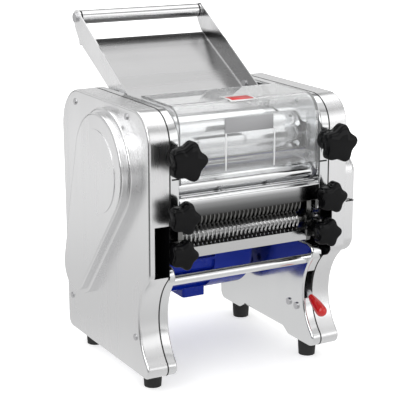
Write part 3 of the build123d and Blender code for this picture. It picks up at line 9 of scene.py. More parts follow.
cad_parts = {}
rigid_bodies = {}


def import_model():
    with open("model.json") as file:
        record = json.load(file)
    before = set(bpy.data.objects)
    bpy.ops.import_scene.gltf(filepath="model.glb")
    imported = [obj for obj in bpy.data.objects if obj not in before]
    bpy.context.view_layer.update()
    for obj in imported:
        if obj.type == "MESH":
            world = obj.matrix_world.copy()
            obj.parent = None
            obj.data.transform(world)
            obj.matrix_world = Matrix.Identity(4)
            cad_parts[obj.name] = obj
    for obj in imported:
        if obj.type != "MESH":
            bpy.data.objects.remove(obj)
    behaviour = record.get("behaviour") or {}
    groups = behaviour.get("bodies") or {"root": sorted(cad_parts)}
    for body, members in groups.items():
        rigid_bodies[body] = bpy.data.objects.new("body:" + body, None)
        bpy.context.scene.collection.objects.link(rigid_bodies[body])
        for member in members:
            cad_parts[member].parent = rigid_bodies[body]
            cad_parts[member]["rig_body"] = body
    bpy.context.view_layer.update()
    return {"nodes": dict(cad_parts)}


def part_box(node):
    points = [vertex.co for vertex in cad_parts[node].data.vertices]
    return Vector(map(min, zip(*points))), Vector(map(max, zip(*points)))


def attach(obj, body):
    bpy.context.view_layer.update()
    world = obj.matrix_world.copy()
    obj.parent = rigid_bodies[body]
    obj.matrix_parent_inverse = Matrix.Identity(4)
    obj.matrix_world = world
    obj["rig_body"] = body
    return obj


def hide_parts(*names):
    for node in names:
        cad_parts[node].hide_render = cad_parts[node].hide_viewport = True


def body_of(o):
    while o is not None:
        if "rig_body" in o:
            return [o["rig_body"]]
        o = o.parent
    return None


bl_info = {
    "name": "Electric pasta maker",
    "version": (1, 0, 0),
    "blender": (4, 5, 0),
    "location": "View3D > Sidebar > Pasta maker",
    "description": "Dresses the CAD frame of an electric pasta maker with finishes and fine parts",
    "category": "Object",
}

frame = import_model()

# Axis of the guard's bend, as (y, z).
GUARD_BEND = (-0.1072, 0.3345)
# Middle of the label plate on the guard's front, as (x, z).
LABEL_MIDDLE = (-0.0022, 0.3345)
# Radians between two faces, past which their edge belongs to an outline.
SHARP_TURN = 0.5

# A star grip's dome, from its back: (share of the outline, share of the thickness).
DOME_STEPS = ((0.965, 0.0), (0.99, 0.03), (1.0, 0.10), (1.0, 0.60), (0.992, 0.72), (0.968, 0.82),
              (0.93, 0.885), (0.86, 0.93), (0.72, 0.962), (0.50, 0.99), (0.25, 1.0))

# Painted light on the feed tray's floor and flanges, greys by height: painted reflections, a painted shade
# band under the lip and painted highlight lines: (height, grey).
TRAY_FLOOR_PAINTED_LIGHT = ((0.330, 0.36), (0.375, 0.38), (0.395, 0.37), (0.3985, 0.50), (0.4015, 0.30),
                    (0.4048, 0.18), (0.4080, 0.45), (0.4115, 0.60))
TRAY_FLANGE_PAINTED_LIGHT = ((0.330, 0.46), (0.385, 0.43), (0.398, 0.36), (0.4045, 0.12), (0.4085, 0.14),
                     (0.4140, 0.90), (0.4300, 1.0), (0.4400, 0.40), (0.4480, 0.30))
# Plane of the tray's floor: its normal, and its distance from the origin.
TRAY_FLOOR_NORMAL = (0.0, -0.4778, 0.8785)
TRAY_FLOOR_DISTANCE = 0.28154
# Width of the painted highlight, a bright line along a bend of the tray.
TRAY_BEND_HIGHLIGHT_WIDTH = 0.0018
# Painted shade and reflection on the cross plate, dark towards its lower edge: (share of its height, grey).
CROSS_PLATE_PAINTED_SHADE = ((0.0, 0.10), (0.30, 0.20), (0.62, 0.45), (0.80, 0.95), (1.0, 1.0))
# Painted light round the handle tube, painted shade underneath and a painted highlight band above: (upward
# part of the normal, grey).
TUBE_PAINTED_LIGHT = ((-1.0, 0.26), (-0.70, 0.30), (-0.10, 0.85), (0.30, 1.0), (0.60, 0.95), (0.85, 0.66),
              (1.0, 0.60))

# What polished steel sees of the floor, from near to far, and of the sky, from the horizon up.
SEEN_FLOOR_GREYS = ((0.0, 0.78), (0.06, 0.68), (0.16, 0.70), (0.30, 0.82), (0.60, 0.94), (1.0, 0.80))
SEEN_SKY_GREYS = ((0.0, 0.45), (0.04, 0.25), (0.09, 0.40), (0.15, 0.90), (0.28, 1.0), (0.42, 0.85),
                  (0.52, 0.30), (0.62, 0.35), (0.76, 0.92), (1.0, 0.85))
# Dark flags that it sees: direction, and the cosines at which the shade begins and is full.
LEFT_FLAG = ((-0.93, -0.36, 0.0), (0.80, 0.90))
REAR_FLAG = ((0.05, 1.0, 0.0), (0.93, 0.965))


# ---------------------------------------------------------------- sizes and colours
class PastaSizes(bpy.types.PropertyGroup):
    """Sizes of the fine parts, in metres."""
    plate_width: FloatProperty(name="Label plate width", description="Bare label plate on the guard",
                               default=0.068, unit="LENGTH")
    plate_height: FloatProperty(name="Label plate height", description="Bare label plate on the guard",
                                default=0.017, unit="LENGTH")
    sticker_width: FloatProperty(name="Sticker width", description="Bare red sticker on the guard",
                                 default=0.038, unit="LENGTH")
    spring_wire: FloatProperty(name="Spring wire", description="Radius of the gap springs' wire",
                               default=0.0006, unit="LENGTH")
    spring_turns: IntProperty(name="Spring turns", description="Turns of each gap spring", default=7)
    grip_thickness: FloatProperty(name="Grip thickness", description="Thickness of a star knob's grip",
                                  default=0.014, unit="LENGTH")
    ring_sides: IntProperty(name="Ring sides", description="Facets round each cutting ring", default=40)
    ring_count: IntProperty(name="Ring count", description="Rings on the upper cutter roller", default=29)
    ring_pitch: FloatProperty(name="Ring pitch", description="From ring to ring", default=0.006,
                              unit="LENGTH")
    ring_width: FloatProperty(name="Ring width", description="Thickness of a cutting ring",
                              default=0.0026, unit="LENGTH")
    ring_radius: FloatProperty(name="Ring radius", description="Outer radius of a cutting ring",
                               default=0.014, unit="LENGTH")
    core_radius: FloatProperty(name="Core radius", description="Radius between the cutting rings",
                               default=0.010, unit="LENGTH")
    cutter_shaft: FloatProperty(name="Cutter shaft", description="Radius of a cutter roller's shaft",
                                default=0.005, unit="LENGTH")


class PastaColours(bpy.types.PropertyGroup):
    """Base colours of the finishes."""
    satin: FloatVectorProperty(name="Satin steel", description="Covers and panels", subtype="COLOR",
                               default=(0.82, 0.82, 0.825), size=3)
    polished: FloatVectorProperty(name="Polished steel", description="Inner casings and sheets",
                                  subtype="COLOR", default=(0.77, 0.775, 0.78), size=3)
    turned: FloatVectorProperty(name="Turned steel", description="Shafts, gears and screws",
                                subtype="COLOR", default=(0.60, 0.60, 0.61), size=3)
    motor: FloatVectorProperty(name="Motor paint", description="Enamel on the motor", subtype="COLOR",
                               default=(0.002, 0.030, 0.47), size=3)
    grip: FloatVectorProperty(name="Switch grip", description="Red grip", subtype="COLOR",
                              default=(0.62, 0.012, 0.012), size=3)
    knob: FloatVectorProperty(name="Knobs", description="Star knobs and small mouldings", subtype="COLOR",
                              default=(0.0035, 0.0035, 0.004), size=3)


class PastaStudio(bpy.types.PropertyGroup):
    """Camera and light."""
    camera_place: FloatVectorProperty(name="Camera place", description="Where the camera stands",
                                      default=(-0.82387, -1.49958, 0.64954), size=3)
    azimuth: FloatProperty(name="Azimuth", description="Camera's direction round the machine, degrees",
                           default=-28.88)
    elevation: FloatProperty(name="Elevation", description="Camera's height angle, degrees", default=14.50)
    lens: FloatProperty(name="Lens", description="Focal length in millimetres", default=119.34)
    key: FloatProperty(name="Key light", description="Power of the main softbox, watts", default=21.0)
    fill: FloatProperty(name="Fill light", description="Power of the fill softbox, watts", default=6.0)
    floor_glow: FloatProperty(name="Floor glow", description="Lift that takes the seen floor to white",
                              default=0.52)
    top: FloatProperty(name="Top light", description="Power of the overhead softbox, watts", default=18.0)


def sizes():
    """The scene's sizes."""
    return bpy.context.scene.pasta_sizes


def colours():
    """The scene's colours."""
    return bpy.context.scene.pasta_colours


def studio():
    """The scene's camera and light settings."""
    return bpy.context.scene.pasta_studio


# ---------------------------------------------------------------- shader building
class Tree:
    """A node tree that is built by short calls."""

    def __init__(self, tree):
        self.tree = tree

    def feed(self, node, inputs):
        """Link or set a node's inputs."""
        for name, value in inputs.items():
            if isinstance(value, bpy.types.NodeSocket):
                self.tree.links.new(value, node.inputs[name])
            else:
                node.inputs[name].default_value = value

    def add(self, kind, inputs=None, **settings):
        """Add a node with its settings and inputs."""
        node = self.tree.nodes.new(kind)
        for name, value in settings.items():
            setattr(node, name, value)
        self.feed(node, inputs or {})
        return node

    def place(self, kind="Object"):
        """Coordinates of the shaded point."""
        return self.add("ShaderNodeTexCoord").outputs[kind]

    def part_of(self, vector, axis):
        """One coordinate of a vector."""
        return self.add("ShaderNodeSeparateXYZ", {"Vector": vector}).outputs[axis]

    def normal_part(self, axis):
        """One coordinate of the surface's normal."""
        return self.part_of(self.add("ShaderNodeNewGeometry").outputs["Normal"], axis)

    def maths(self, operation, *numbers, **settings):
        """A sum on one or two numbers."""
        node = self.add("ShaderNodeMath", dict(enumerate(numbers)), operation=operation, **settings)
        return node.outputs[0]

    def vector_maths(self, operation, *vectors):
        """A sum on one or two vectors that gives a number."""
        node = self.add("ShaderNodeVectorMath", dict(enumerate(vectors)), operation=operation)
        return node.outputs["Value"]

    def spread(self, value, start, end, low=0.0, high=1.0):
        """A value taken from the range start to end to the range low to high."""
        ends = {"From Min": start, "From Max": end, "To Min": low, "To Max": high}
        return self.add("ShaderNodeMapRange", {"Value": value, **ends}).outputs["Result"]

    def between(self, mask, low, high):
        """A number between two, by a mask."""
        return self.spread(mask, 0.0, 1.0, low, high)

    def noise(self, vector, scale, detail, **more):
        """Cloudy noise."""
        return self.add("ShaderNodeTexNoise", {"Vector": vector, "Scale": scale, "Detail": detail,
                                               **more}).outputs["Fac"]

    def mix(self, mask, first, second, kind="MIX"):
        """Two colours mixed by a mask."""
        return self.add("ShaderNodeMix", {"Factor": mask, "A": first, "B": second},
                        data_type="RGBA", blend_type=kind).outputs["Result"]

    def blend(self, mask, first, second):
        """Two plain colours mixed by a mask."""
        return self.mix(mask, (*first, 1.0), (*second, 1.0))

    def relief(self, height, strength, depth):
        """A normal that follows a height."""
        return self.add("ShaderNodeBump", {"Height": height, "Strength": strength,
                                           "Distance": depth}).outputs["Normal"]

    def greys(self, value, levels):
        """A grey that follows a value, from (value, grey) pairs."""
        start, end = levels[0][0], levels[-1][0]
        node = self.add("ShaderNodeValToRGB", {"Fac": self.spread(value, start, end)})
        stops = node.color_ramp.elements
        for position, _ in levels[1:-1]:
            stops.new((position - start) / (end - start))
        for stop, (_, grey) in zip(stops, levels):
            stop.color = (grey, grey, grey, 1.0)
        return node.outputs["Color"]


def emptied(data):
    """The emptied node tree of a material or a world."""
    data.use_nodes = True
    data.node_tree.nodes.clear()
    return Tree(data.node_tree)


def new_group(name, setting, default, outputs):
    """A shader node group that takes a vector and one setting: its tree, its inputs and its last node."""
    group = bpy.data.node_groups.new(name, "ShaderNodeTree")
    group.interface.new_socket("Vector", in_out="INPUT", socket_type="NodeSocketVector")
    socket = group.interface.new_socket(setting, in_out="INPUT", socket_type="NodeSocketFloat")
    socket.default_value = default
    for label in outputs:
        group.interface.new_socket(label, in_out="OUTPUT", socket_type="NodeSocketFloat")
    tree = Tree(group)
    return tree, tree.add("NodeGroupInput").outputs, tree.add("NodeGroupOutput")


def brushed_group():
    """Fine parallel scratches: a height and a mask."""
    tree, entry, leave = new_group("Brushed grain", "Density", 1.0, ("Height", "Mask"))
    fine = tree.noise(entry["Vector"], tree.maths("MULTIPLY", entry["Density"], 240.0), 3.0, Roughness=0.65)
    broad = tree.noise(entry["Vector"], 34.0, 2.0)
    tree.feed(leave, {"Height": fine, "Mask": tree.spread(broad, 0.35, 0.65)})
    return tree.tree


def smudge_group():
    """Soft patches left by wiping and handling: a mask."""
    tree, entry, leave = new_group("Wiped patches", "Scale", 14.0, ("Mask",))
    cloud = tree.noise(entry["Vector"], entry["Scale"], 5.0, Distortion=0.6)
    tree.feed(leave, {"Mask": tree.spread(cloud, 0.42, 0.72)})
    return tree.tree


def edge_group():
    """Mask of worn edges, from the difference between a rounded and a true normal."""
    tree, entry, leave = new_group("Edge wear", "Strength", 1.0, ("Mask",))
    rounded = tree.add("ShaderNodeBevel", {"Radius": 0.0007}, samples=4)
    true = tree.add("ShaderNodeNewGeometry")
    turn = tree.vector_maths("DOT_PRODUCT", rounded.outputs["Normal"], true.outputs["Normal"])
    chips = tree.spread(tree.noise(entry["Vector"], 420.0, 3.0), 0.40, 0.62)
    rim = tree.maths("MULTIPLY", tree.spread(turn, 0.995, 0.80), chips)
    tree.feed(leave, {"Mask": tree.maths("MULTIPLY", rim, entry["Strength"], use_clamp=True)})
    return tree.tree


def pebble_group():
    """Fine moulded grain: a height and a mask."""
    tree, entry, leave = new_group("Moulded grain", "Scale", 900.0, ("Height", "Mask"))
    cells = tree.add("ShaderNodeTexVoronoi", {"Vector": entry["Vector"], "Scale": entry["Scale"]})
    tree.feed(leave, {"Height": cells.outputs["Distance"], "Mask": tree.noise(entry["Vector"], 60.0, 4.0)})
    return tree.tree


EFFECTS = {"brushed": brushed_group, "smudge": smudge_group, "edge": edge_group, "pebble": pebble_group}
GROUPS = {}


def use(tree, name, **inputs):
    """Place a shared effect, built once, in a material, and give its outputs."""
    if name not in GROUPS:
        GROUPS[name] = EFFECTS[name]()
    return tree.add("ShaderNodeGroup", inputs, node_tree=GROUPS[name]).outputs


def start_material(name):
    """A new material, its tree, its Principled shader and its object coordinates."""
    made = bpy.data.materials.new(name)
    tree = emptied(made)
    shader = tree.add("ShaderNodeBsdfPrincipled")
    tree.add("ShaderNodeOutputMaterial", {"Surface": shader.outputs["BSDF"]})
    return made, tree, shader, tree.place()


def scaled(colour, share):
    """A colour with its value scaled."""
    return tuple(channel * share for channel in colour)


# ---------------------------------------------------------------- finishes
def steel(name, colour, stretch, rough, bump, density=1.0, painted_light=None):
    """Stainless steel with a directional grain and wiped patches, with the painted shade and highlights of
    painted_light multiplied into its tone.
    """
    made, tree, shader, place = start_material(name)
    stretched = tree.add("ShaderNodeMapping", {"Vector": place, "Scale": stretch}).outputs["Vector"]
    grain = use(tree, "brushed", Vector=stretched, Density=density)
    wiped = use(tree, "smudge", Vector=place, Scale=9.0)
    tone = tree.blend(grain["Height"], scaled(colour, 0.98), scaled(colour, 1.02))
    # Painted light: each mask multiplies the tone by its painted grey.
    for mask, grey in (painted_light(tree) if painted_light else ()):
        tone = tree.mix(mask, tone, grey, "MULTIPLY")
    ground = tree.between(grain["Mask"], rough[0], rough[1])
    handled = tree.between(wiped["Mask"], 0.0, rough[2])
    tree.feed(shader, {"Base Color": tone, "Metallic": 1.0, "Roughness": tree.maths("ADD", ground, handled),
                       "Normal": tree.relief(grain["Height"], bump, 0.00005)})
    return made


def cross_plate_painted_light(tree):
    """Painted shade and reflection: darker towards the lower edge."""
    low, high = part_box("cross_plate")
    height = tree.spread(tree.part_of(tree.place(), "Z"), low.z, high.z)
    return [(1.0, tree.greys(height, CROSS_PLATE_PAINTED_SHADE))]


def tray_painted_light(tree):
    """Painted light: a grey floor with a painted shade band under its lip and a painted highlight along the
    bend, pale flanges, the right one with painted shade inside.
    """
    place, sideways = tree.place(), tree.normal_part("X")
    height = tree.part_of(place, "Z")
    flat = tree.spread(tree.maths("ABSOLUTE", sideways), 0.60, 0.30)
    inner = tree.spread(sideways, -0.6, -0.9)
    right = tree.spread(tree.part_of(place, "X"), 0.03, 0.06)
    above = tree.spread(tree.vector_maths("DOT_PRODUCT", place, TRAY_FLOOR_NORMAL),
                        TRAY_FLOOR_DISTANCE + TRAY_BEND_HIGHLIGHT_WIDTH * 0.8,
                        TRAY_FLOOR_DISTANCE + TRAY_BEND_HIGHLIGHT_WIDTH * 1.2)
    flange = tree.maths("MULTIPLY", tree.maths("MULTIPLY", inner, right), above)
    return [(flat, tree.greys(height, TRAY_FLOOR_PAINTED_LIGHT)), (flange, tree.greys(height, TRAY_FLANGE_PAINTED_LIGHT))]


def tube_painted_light(tree):
    """Painted shade underneath and a painted highlight above, with a painted groove shadow near each end.
    """
    from_end, half_width, rounding = 0.0035, 0.0010, 0.0004
    groove_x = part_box("handle_tube")[1].x - from_end
    side = tree.maths("ABSOLUTE", tree.part_of(tree.place(), "X"))
    away = tree.maths("ABSOLUTE", tree.maths("SUBTRACT", side, groove_x))
    # Painted shade: a dark line near each end stands for a groove's shadow.
    groove_shade = tree.spread(away, half_width, half_width + rounding, 0.03, 1.0)
    return [(1.0, tree.maths("MULTIPLY", groove_shade, tree.greys(tree.normal_part("Z"), TUBE_PAINTED_LIGHT)))]


def moulded(name, colour, rough, bump, pebble=900.0, wear=0.25, coat=0.0, shine=0.5):
    """Moulded plastic or rubber with a fine grain and paler edges."""
    made, tree, shader, place = start_material(name)
    grain = use(tree, "pebble", Vector=place, Scale=pebble)
    worn = use(tree, "edge", Vector=place, Strength=wear)
    pale = tuple(min(1.0, channel + 0.16) for channel in colour)
    tree.feed(shader, {"Base Color": tree.blend(worn["Mask"], colour, pale),
                       "Roughness": tree.between(grain["Mask"], *rough),
                       "Coat Weight": coat, "Specular IOR Level": shine,
                       "Normal": tree.relief(grain["Height"], bump, 0.00006)})
    return made


def enamel(name, colour):
    """Glossy enamel over cast metal: slight orange peel, dust, and chipped edges."""
    made, tree, shader, place = start_material(name)
    peel = use(tree, "pebble", Vector=place, Scale=260.0)
    worn = use(tree, "edge", Vector=place, Strength=0.55)
    wiped = use(tree, "smudge", Vector=place, Scale=22.0)
    dusty = tree.blend(wiped["Mask"], colour, tuple(channel * 0.9 + 0.002 for channel in colour))
    tree.feed(shader, {"Base Color": tree.mix(worn["Mask"], dusty, (0.42, 0.43, 0.45, 1.0)),
                       "Roughness": tree.between(wiped["Mask"], 0.24, 0.40),
                       "Coat Weight": 0.12, "Coat Roughness": 0.12, "Specular IOR Level": 0.2,
                       "Normal": tree.relief(peel["Height"], 0.12, 0.0001)})
    return made


def clear_sheet(name):
    """Clear plastic sheet with faint smears."""
    made, tree, shader, place = start_material(name)
    wiped = use(tree, "smudge", Vector=place, Scale=16.0)
    tone = tree.blend(wiped["Mask"], (0.985, 0.992, 0.995), (0.965, 0.975, 0.98))
    tree.feed(shader, {"Base Color": tone, "Roughness": tree.between(wiped["Mask"], 0.0, 0.035),
                       "Transmission Weight": 0.84, "IOR": 1.45})
    return made


# How steel's grain runs, as its scale along x, y and z: small along its scratches.
ALONG_X = (0.05, 1.0, 1.0)
ALONG_Z = (1.0, 1.0, 0.05)
ROUND_X = (1.0, 0.2, 0.2)
EVEN = (1.0, 1.0, 1.0)

FINISHES = {
    "satin": lambda: steel("Satin steel", colours().satin, (1.0, 1.0, 0.06), (0.22, 0.28, 0.04), 0.015,
                           density=1.7),
    "polished": lambda: steel("Polished steel", colours().polished, ALONG_Z, (0.10, 0.15, 0.04), 0.02,
                              density=1.5),
    "bright": lambda: steel("Bright sheet", colours().polished, ALONG_X, (0.12, 0.18, 0.04), 0.015),
    "cross": lambda: steel("Cross plate steel", colours().polished, ALONG_X, (0.14, 0.20, 0.04), 0.015,
                           painted_light=cross_plate_painted_light),
    "tray": lambda: steel("Tray steel", (0.95, 0.95, 0.955), ALONG_X, (0.20, 0.27, 0.03), 0.015,
                          painted_light=tray_painted_light),
    "tube": lambda: steel("Tube steel", (0.80, 0.80, 0.805), (0.04, 1.0, 1.0), (0.10, 0.16, 0.03), 0.02,
                          painted_light=tube_painted_light),
    "ground": lambda: steel("Ground roller", (0.82, 0.825, 0.83), (0.04, 1.0, 1.0), (0.13, 0.19, 0.03),
                            0.02),
    "turned": lambda: steel("Turned steel", colours().turned, ROUND_X, (0.22, 0.34, 0.06), 0.12),
    "cutter": lambda: steel("Cutter steel", (0.62, 0.62, 0.62), ROUND_X, (0.12, 0.20, 0.06), 0.06),
    # Painted shade: the cutter's steel darkened to show shade on the upper cutter roller and the cutter's
    # end plates.
    "painted_shade_steel": lambda: steel("Steel with painted shade", (0.20, 0.20, 0.195), ROUND_X, (0.16, 0.26, 0.06), 0.08),
    "plated": lambda: steel("Plated frame", (0.48, 0.49, 0.50), EVEN, (0.34, 0.46, 0.08), 0.10),
    "bronze": lambda: steel("Sintered bronze", (0.62, 0.42, 0.20), EVEN, (0.34, 0.44, 0.06), 0.15),
    "label": lambda: steel("Label plate", (0.50, 0.50, 0.51), (0.03, 1.0, 1.0), (0.46, 0.56, 0.04), 0.04),
    "knob": lambda: moulded("Knob plastic", colours().knob, (0.22, 0.32), 0.06, coat=0.35, shine=0.0),
    "rubber": lambda: moulded("Foot rubber", (0.018, 0.018, 0.018), (0.62, 0.78), 0.35, 500.0, 0.4),
    "belt": lambda: moulded("Belt rubber", (0.03, 0.03, 0.03), (0.6, 0.75), 0.3, 700.0, 0.3),
    "grip": lambda: moulded("Grip plastic", colours().grip, (0.16, 0.24), 0.03, 500.0, 0.05, 0.4),
    "sticker": lambda: moulded("Red sticker", (0.72, 0.02, 0.02), (0.3, 0.38), 0.02, 600.0, 0.0, 0.2),
    "border": lambda: moulded("Sticker border", (0.85, 0.85, 0.85), (0.34, 0.42), 0.02, 600.0, 0.0, 0.1),
    "frosted": lambda: moulded("Sawn clear edge", (0.80, 0.81, 0.82), (0.35, 0.5), 0.05, 700.0, 0.0),
    "motor": lambda: enamel("Motor enamel", colours().motor),
    "clear": lambda: clear_sheet("Clear guard sheet"),
}
MATERIALS = {}


def material(name):
    """A finish of the machine, built once."""
    if name not in MATERIALS:
        MATERIALS[name] = FINISHES[name]()
    return MATERIALS[name]


# ---------------------------------------------------------------- mesh building
def place_object(work, name, paint):
    """Make an object of a bmesh, with its material."""
    mesh = bpy.data.meshes.new(name)
    work.to_mesh(mesh)
    work.free()
    mesh.materials.append(paint)
    made = bpy.data.objects.new(name, mesh)
    bpy.context.scene.collection.objects.link(made)
    return made


def finish_piece(work, name, finish, body, replaced=()):
    """Make a piece of a bmesh, and put it on its body."""
    piece = place_object(work, name, material(finish))
    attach(piece, body)
    if replaced:
        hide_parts(*replaced)
    return piece


def mark_creases(work, crease):
    """Smooth faces, with sharp edges where the surface turns more than the crease angle."""
    limit = math.radians(crease)
    for face in work.faces:
        face.smooth = True
    for edge in work.edges:
        if len(edge.link_faces) == 2 and edge.calc_face_angle(0.0) > limit:
            edge.smooth = False


def new_piece(work, name, finish, body, replaced=(), crease=35.0):
    """Merge a new shape's doubles, turn its faces outwards, and make a piece of it."""
    bmesh.ops.remove_doubles(work, verts=work.verts, dist=1e-6)
    bmesh.ops.recalc_face_normals(work, faces=work.faces)
    mark_creases(work, crease)
    return finish_piece(work, name, finish, body, replaced)


def thicken(piece, label, thickness, offset):
    """Give a sheet its wall."""
    skin = piece.modifiers.new(label, "SOLIDIFY")
    skin.thickness, skin.offset = thickness, offset


def node_body(node):
    """The body a CAD node rides on."""
    return body_of(frame["nodes"][node])[0]


def node_copy(node):
    """A merged copy of a CAD node's mesh."""
    work = bmesh.new()
    work.from_mesh(frame["nodes"][node].data)
    bmesh.ops.remove_doubles(work, verts=work.verts, dist=2e-6)
    return work


def dress(finish, *nodes, crease=32.0):
    """Show CAD nodes as merged, smoothly shaded copies with a finish, their flats kept flat."""
    for node in nodes:
        work = node_copy(node)
        mark_creases(work, crease)
        piece = finish_piece(work, node + "_skin", finish, node_body(node), (node,))
        weigh = piece.modifiers.new("Flat faces stay flat", "WEIGHTED_NORMAL")
        weigh.keep_sharp, weigh.weight = True, 100


def plate(work, centre, size, bevel, segments=2):
    """A small plate with rounded edges, added to a bmesh."""
    made = bmesh.ops.create_cube(work, size=1.0, matrix=Matrix.Translation(centre) @
                                 Matrix.Diagonal((*size, 1.0)))
    edges = list({edge for vert in made["verts"] for edge in vert.link_edges})
    bmesh.ops.bevel(work, geom=edges, offset=bevel, segments=segments, profile=0.5, affect="EDGES",
                    material=-1)


def islands(work):
    """The separate closed skins of a bmesh, as lists of vertices."""
    left, found = set(work.verts), []
    while left:
        queue, skin = [left.pop()], []
        while queue:
            vert = queue.pop()
            skin.append(vert)
            near = {edge.other_vert(vert) for edge in vert.link_edges} & left
            left -= near
            queue += near
        found.append(skin)
    return found


def skin_box(verts):
    """Lowest and highest corners of some vertices."""
    spread = [[vert.co[axis] for vert in verts] for axis in range(3)]
    return Vector([min(part) for part in spread]), Vector([max(part) for part in spread])


def outline_edges(work, inside):
    """Edges at real corners whose two ends both pass a test."""
    return [edge for edge in work.edges if all(inside(vert) for vert in edge.verts)
            and edge.calc_face_angle(0.0) > SHARP_TURN]


def keep_edges(work, edges):
    """Delete everything from a bmesh but some edges."""
    kept = set(edges)
    bmesh.ops.delete(work, geom=work.faces[:], context="FACES_ONLY")
    bmesh.ops.delete(work, geom=[e for e in work.edges if e not in kept], context="EDGES")
    bmesh.ops.delete(work, geom=[v for v in work.verts if not v.link_edges], context="VERTS")


def extrude_edges(work, edges):
    """Extrude edges on the spot, and give the new vertices and the new edges."""
    made = bmesh.ops.extrude_edge_only(work, edges=edges)["geom"]
    return [[item for item in made if isinstance(item, kind)]
            for kind in (bmesh.types.BMVert, bmesh.types.BMEdge)]


def curved_strip(work, ends, top_z, rear_y, bend_length):
    """A strip across the guard: flat from its rear edge to the guard's bend, then on round the bend."""
    bend_y, bend_z = GUARD_BEND
    verts = [work.verts.new((x, bend_y, top_z)) for x in ends]
    edge = work.edges.new(verts)
    back = extrude_edges(work, [edge])[0]
    bmesh.ops.translate(work, verts=back, vec=(0.0, rear_y - bend_y, 0.0))
    bmesh.ops.spin(work, geom=[edge] + verts, cent=(0.0, bend_y, bend_z), axis=(1.0, 0.0, 0.0),
                   angle=bend_length / (top_z - bend_z), steps=6)


def turn_profile(work, points, centre, axis, sides):
    """Turn a line of points once round an axis."""
    verts = [work.verts.new(point) for point in points]
    edges = [work.edges.new(pair) for pair in zip(verts, verts[1:])]
    bmesh.ops.spin(work, geom=verts + edges, cent=centre, axis=axis, angle=math.tau, steps=sides,
                   use_merge=True)


# ---------------------------------------------------------------- operators
class PASTA_OT_panels(bpy.types.Operator):
    """Outer covers, inner casings, frame plates and the panels between them."""
    bl_idname = "pasta.panels"
    bl_label = "Casings and panels"

    def execute(self, context):
        dress("satin", "left_outer_cover", "right_outer_cover", "rear_panel", crease=40.0)
        dress("polished", "left_inner_casing", "right_inner_casing", crease=40.0)
        dress("bright", "roller_scraper")
        dress("cross", "cross_plate")
        dress("plated", "left_frame_plate", "right_frame_plate", "foot_brackets")
        # Painted shade: dark strips in the seams stand for the shade in the gaps.
        self.shadow_strip("left", -1)
        self.shadow_strip("right", 1)
        self.shade_backings()
        return {"FINISHED"}

    def shadow_strip(self, name, side):
        """Dark rubber strip in the seam between an outer cover and its inner casing: painted shade for the
        seam's gap.
        """
        outwards, depth, least_height = 0.0004, 0.0018, 0.05
        work = node_copy(name + "_outer_cover")
        rim_x = min(abs(v.co.x) for v in work.verts)
        keep_edges(work, outline_edges(work, lambda vert: abs(abs(vert.co.x) - rim_x) < 2e-5))
        boxes = [(skin, *skin_box(skin)) for skin in islands(work)]
        small = [vert for skin, low, high in boxes if high.z - low.z < least_height for vert in skin]
        bmesh.ops.delete(work, geom=small, context="VERTS")
        bmesh.ops.translate(work, verts=work.verts, vec=(outwards * side, 0.0, 0.0))
        inner = extrude_edges(work, work.edges[:])[0]
        bmesh.ops.translate(work, verts=inner, vec=(-depth * side, 0.0, 0.0))
        piece = new_piece(work, name + "_seam_shadow_strip", "rubber", "frame", crease=50.0)
        thicken(piece, "Strip", 0.0003, 0.0)

    def shade_backings(self):
        """Painted shade: dark sheets behind the short slots and lining the left opening, where there is
        only shade.
        """
        slot_y, sheet = -0.1379, 0.0006
        work = bmesh.new()
        for centre, size in (((-0.106, slot_y, 0.2765), (0.0104, sheet, 0.0019)),
                             ((0.106, slot_y, 0.2765), (0.0104, sheet, 0.0019)),
                             ((0.1485, slot_y, 0.2190), (0.0128, sheet, 0.0016)),
                             ((-0.1141, -0.1118, 0.1870), (0.0004, 0.0500, 0.0720))):
            plate(work, centre, size, 0.0001, 1)
        new_piece(work, "dark_shade_backings", "knob", "frame")


class PASTA_OT_rollers(bpy.types.Operator):
    """Sheeting rollers, their bushes, bearing blocks and springs."""
    bl_idname = "pasta.rollers"
    bl_label = "Rollers"

    def execute(self, context):
        dress("ground", "rear_roller", "front_roller")
        dress("bronze", "roller_bushes", "layshaft_bush")
        dress("turned", "bearing_blocks")
        self.springs()
        return {"FINISHED"}

    def springs(self):
        """Coil springs in place of the plain sleeves."""
        low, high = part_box("gap_springs")
        wire, turns = sizes().spring_wire, sizes().spring_turns
        outer, axis_z = (high.z - low.z) / 2, (high.z + low.z) / 2
        front, rear = low.y + 1.2 * wire, high.y - 1.2 * wire
        steps = 24 * turns
        work = bmesh.new()
        for axis_x in (low.x + outer, high.x - outer):
            ring = bmesh.ops.create_circle(work, segments=8, radius=wire, matrix=Matrix.Translation(
                (axis_x, front, axis_z + outer - wire)) @ Matrix.Rotation(math.pi / 2, 4, "Y"))
            geom = ring["verts"] + list({e for v in ring["verts"] for e in v.link_edges})
            bmesh.ops.spin(work, geom=geom, cent=(axis_x, front, axis_z), axis=(0.0, 1.0, 0.0),
                           dvec=(0.0, (rear - front) / steps, 0.0), angle=math.tau * turns, steps=steps)
        bmesh.ops.holes_fill(work, edges=[e for e in work.edges if e.is_boundary], sides=0)
        new_piece(work, "gap_coils", "turned", "frame", ("gap_springs",))


class PASTA_OT_drive(bpy.types.Operator):
    """Gears, layshaft, pulleys and belt."""
    bl_idname = "pasta.drive"
    bl_label = "Gears and belt"

    def execute(self, context):
        dress("turned", "rear_roller_gear", "front_roller_gear", "upper_idler_gear", "lower_idler_gear",
              "cutter_drive_gear", "driven_gear", "layshaft", "big_pulley", "motor_pulley", "motor_shaft",
              "idler_axles")
        dress("belt", "drive_belt")
        return {"FINISHED"}


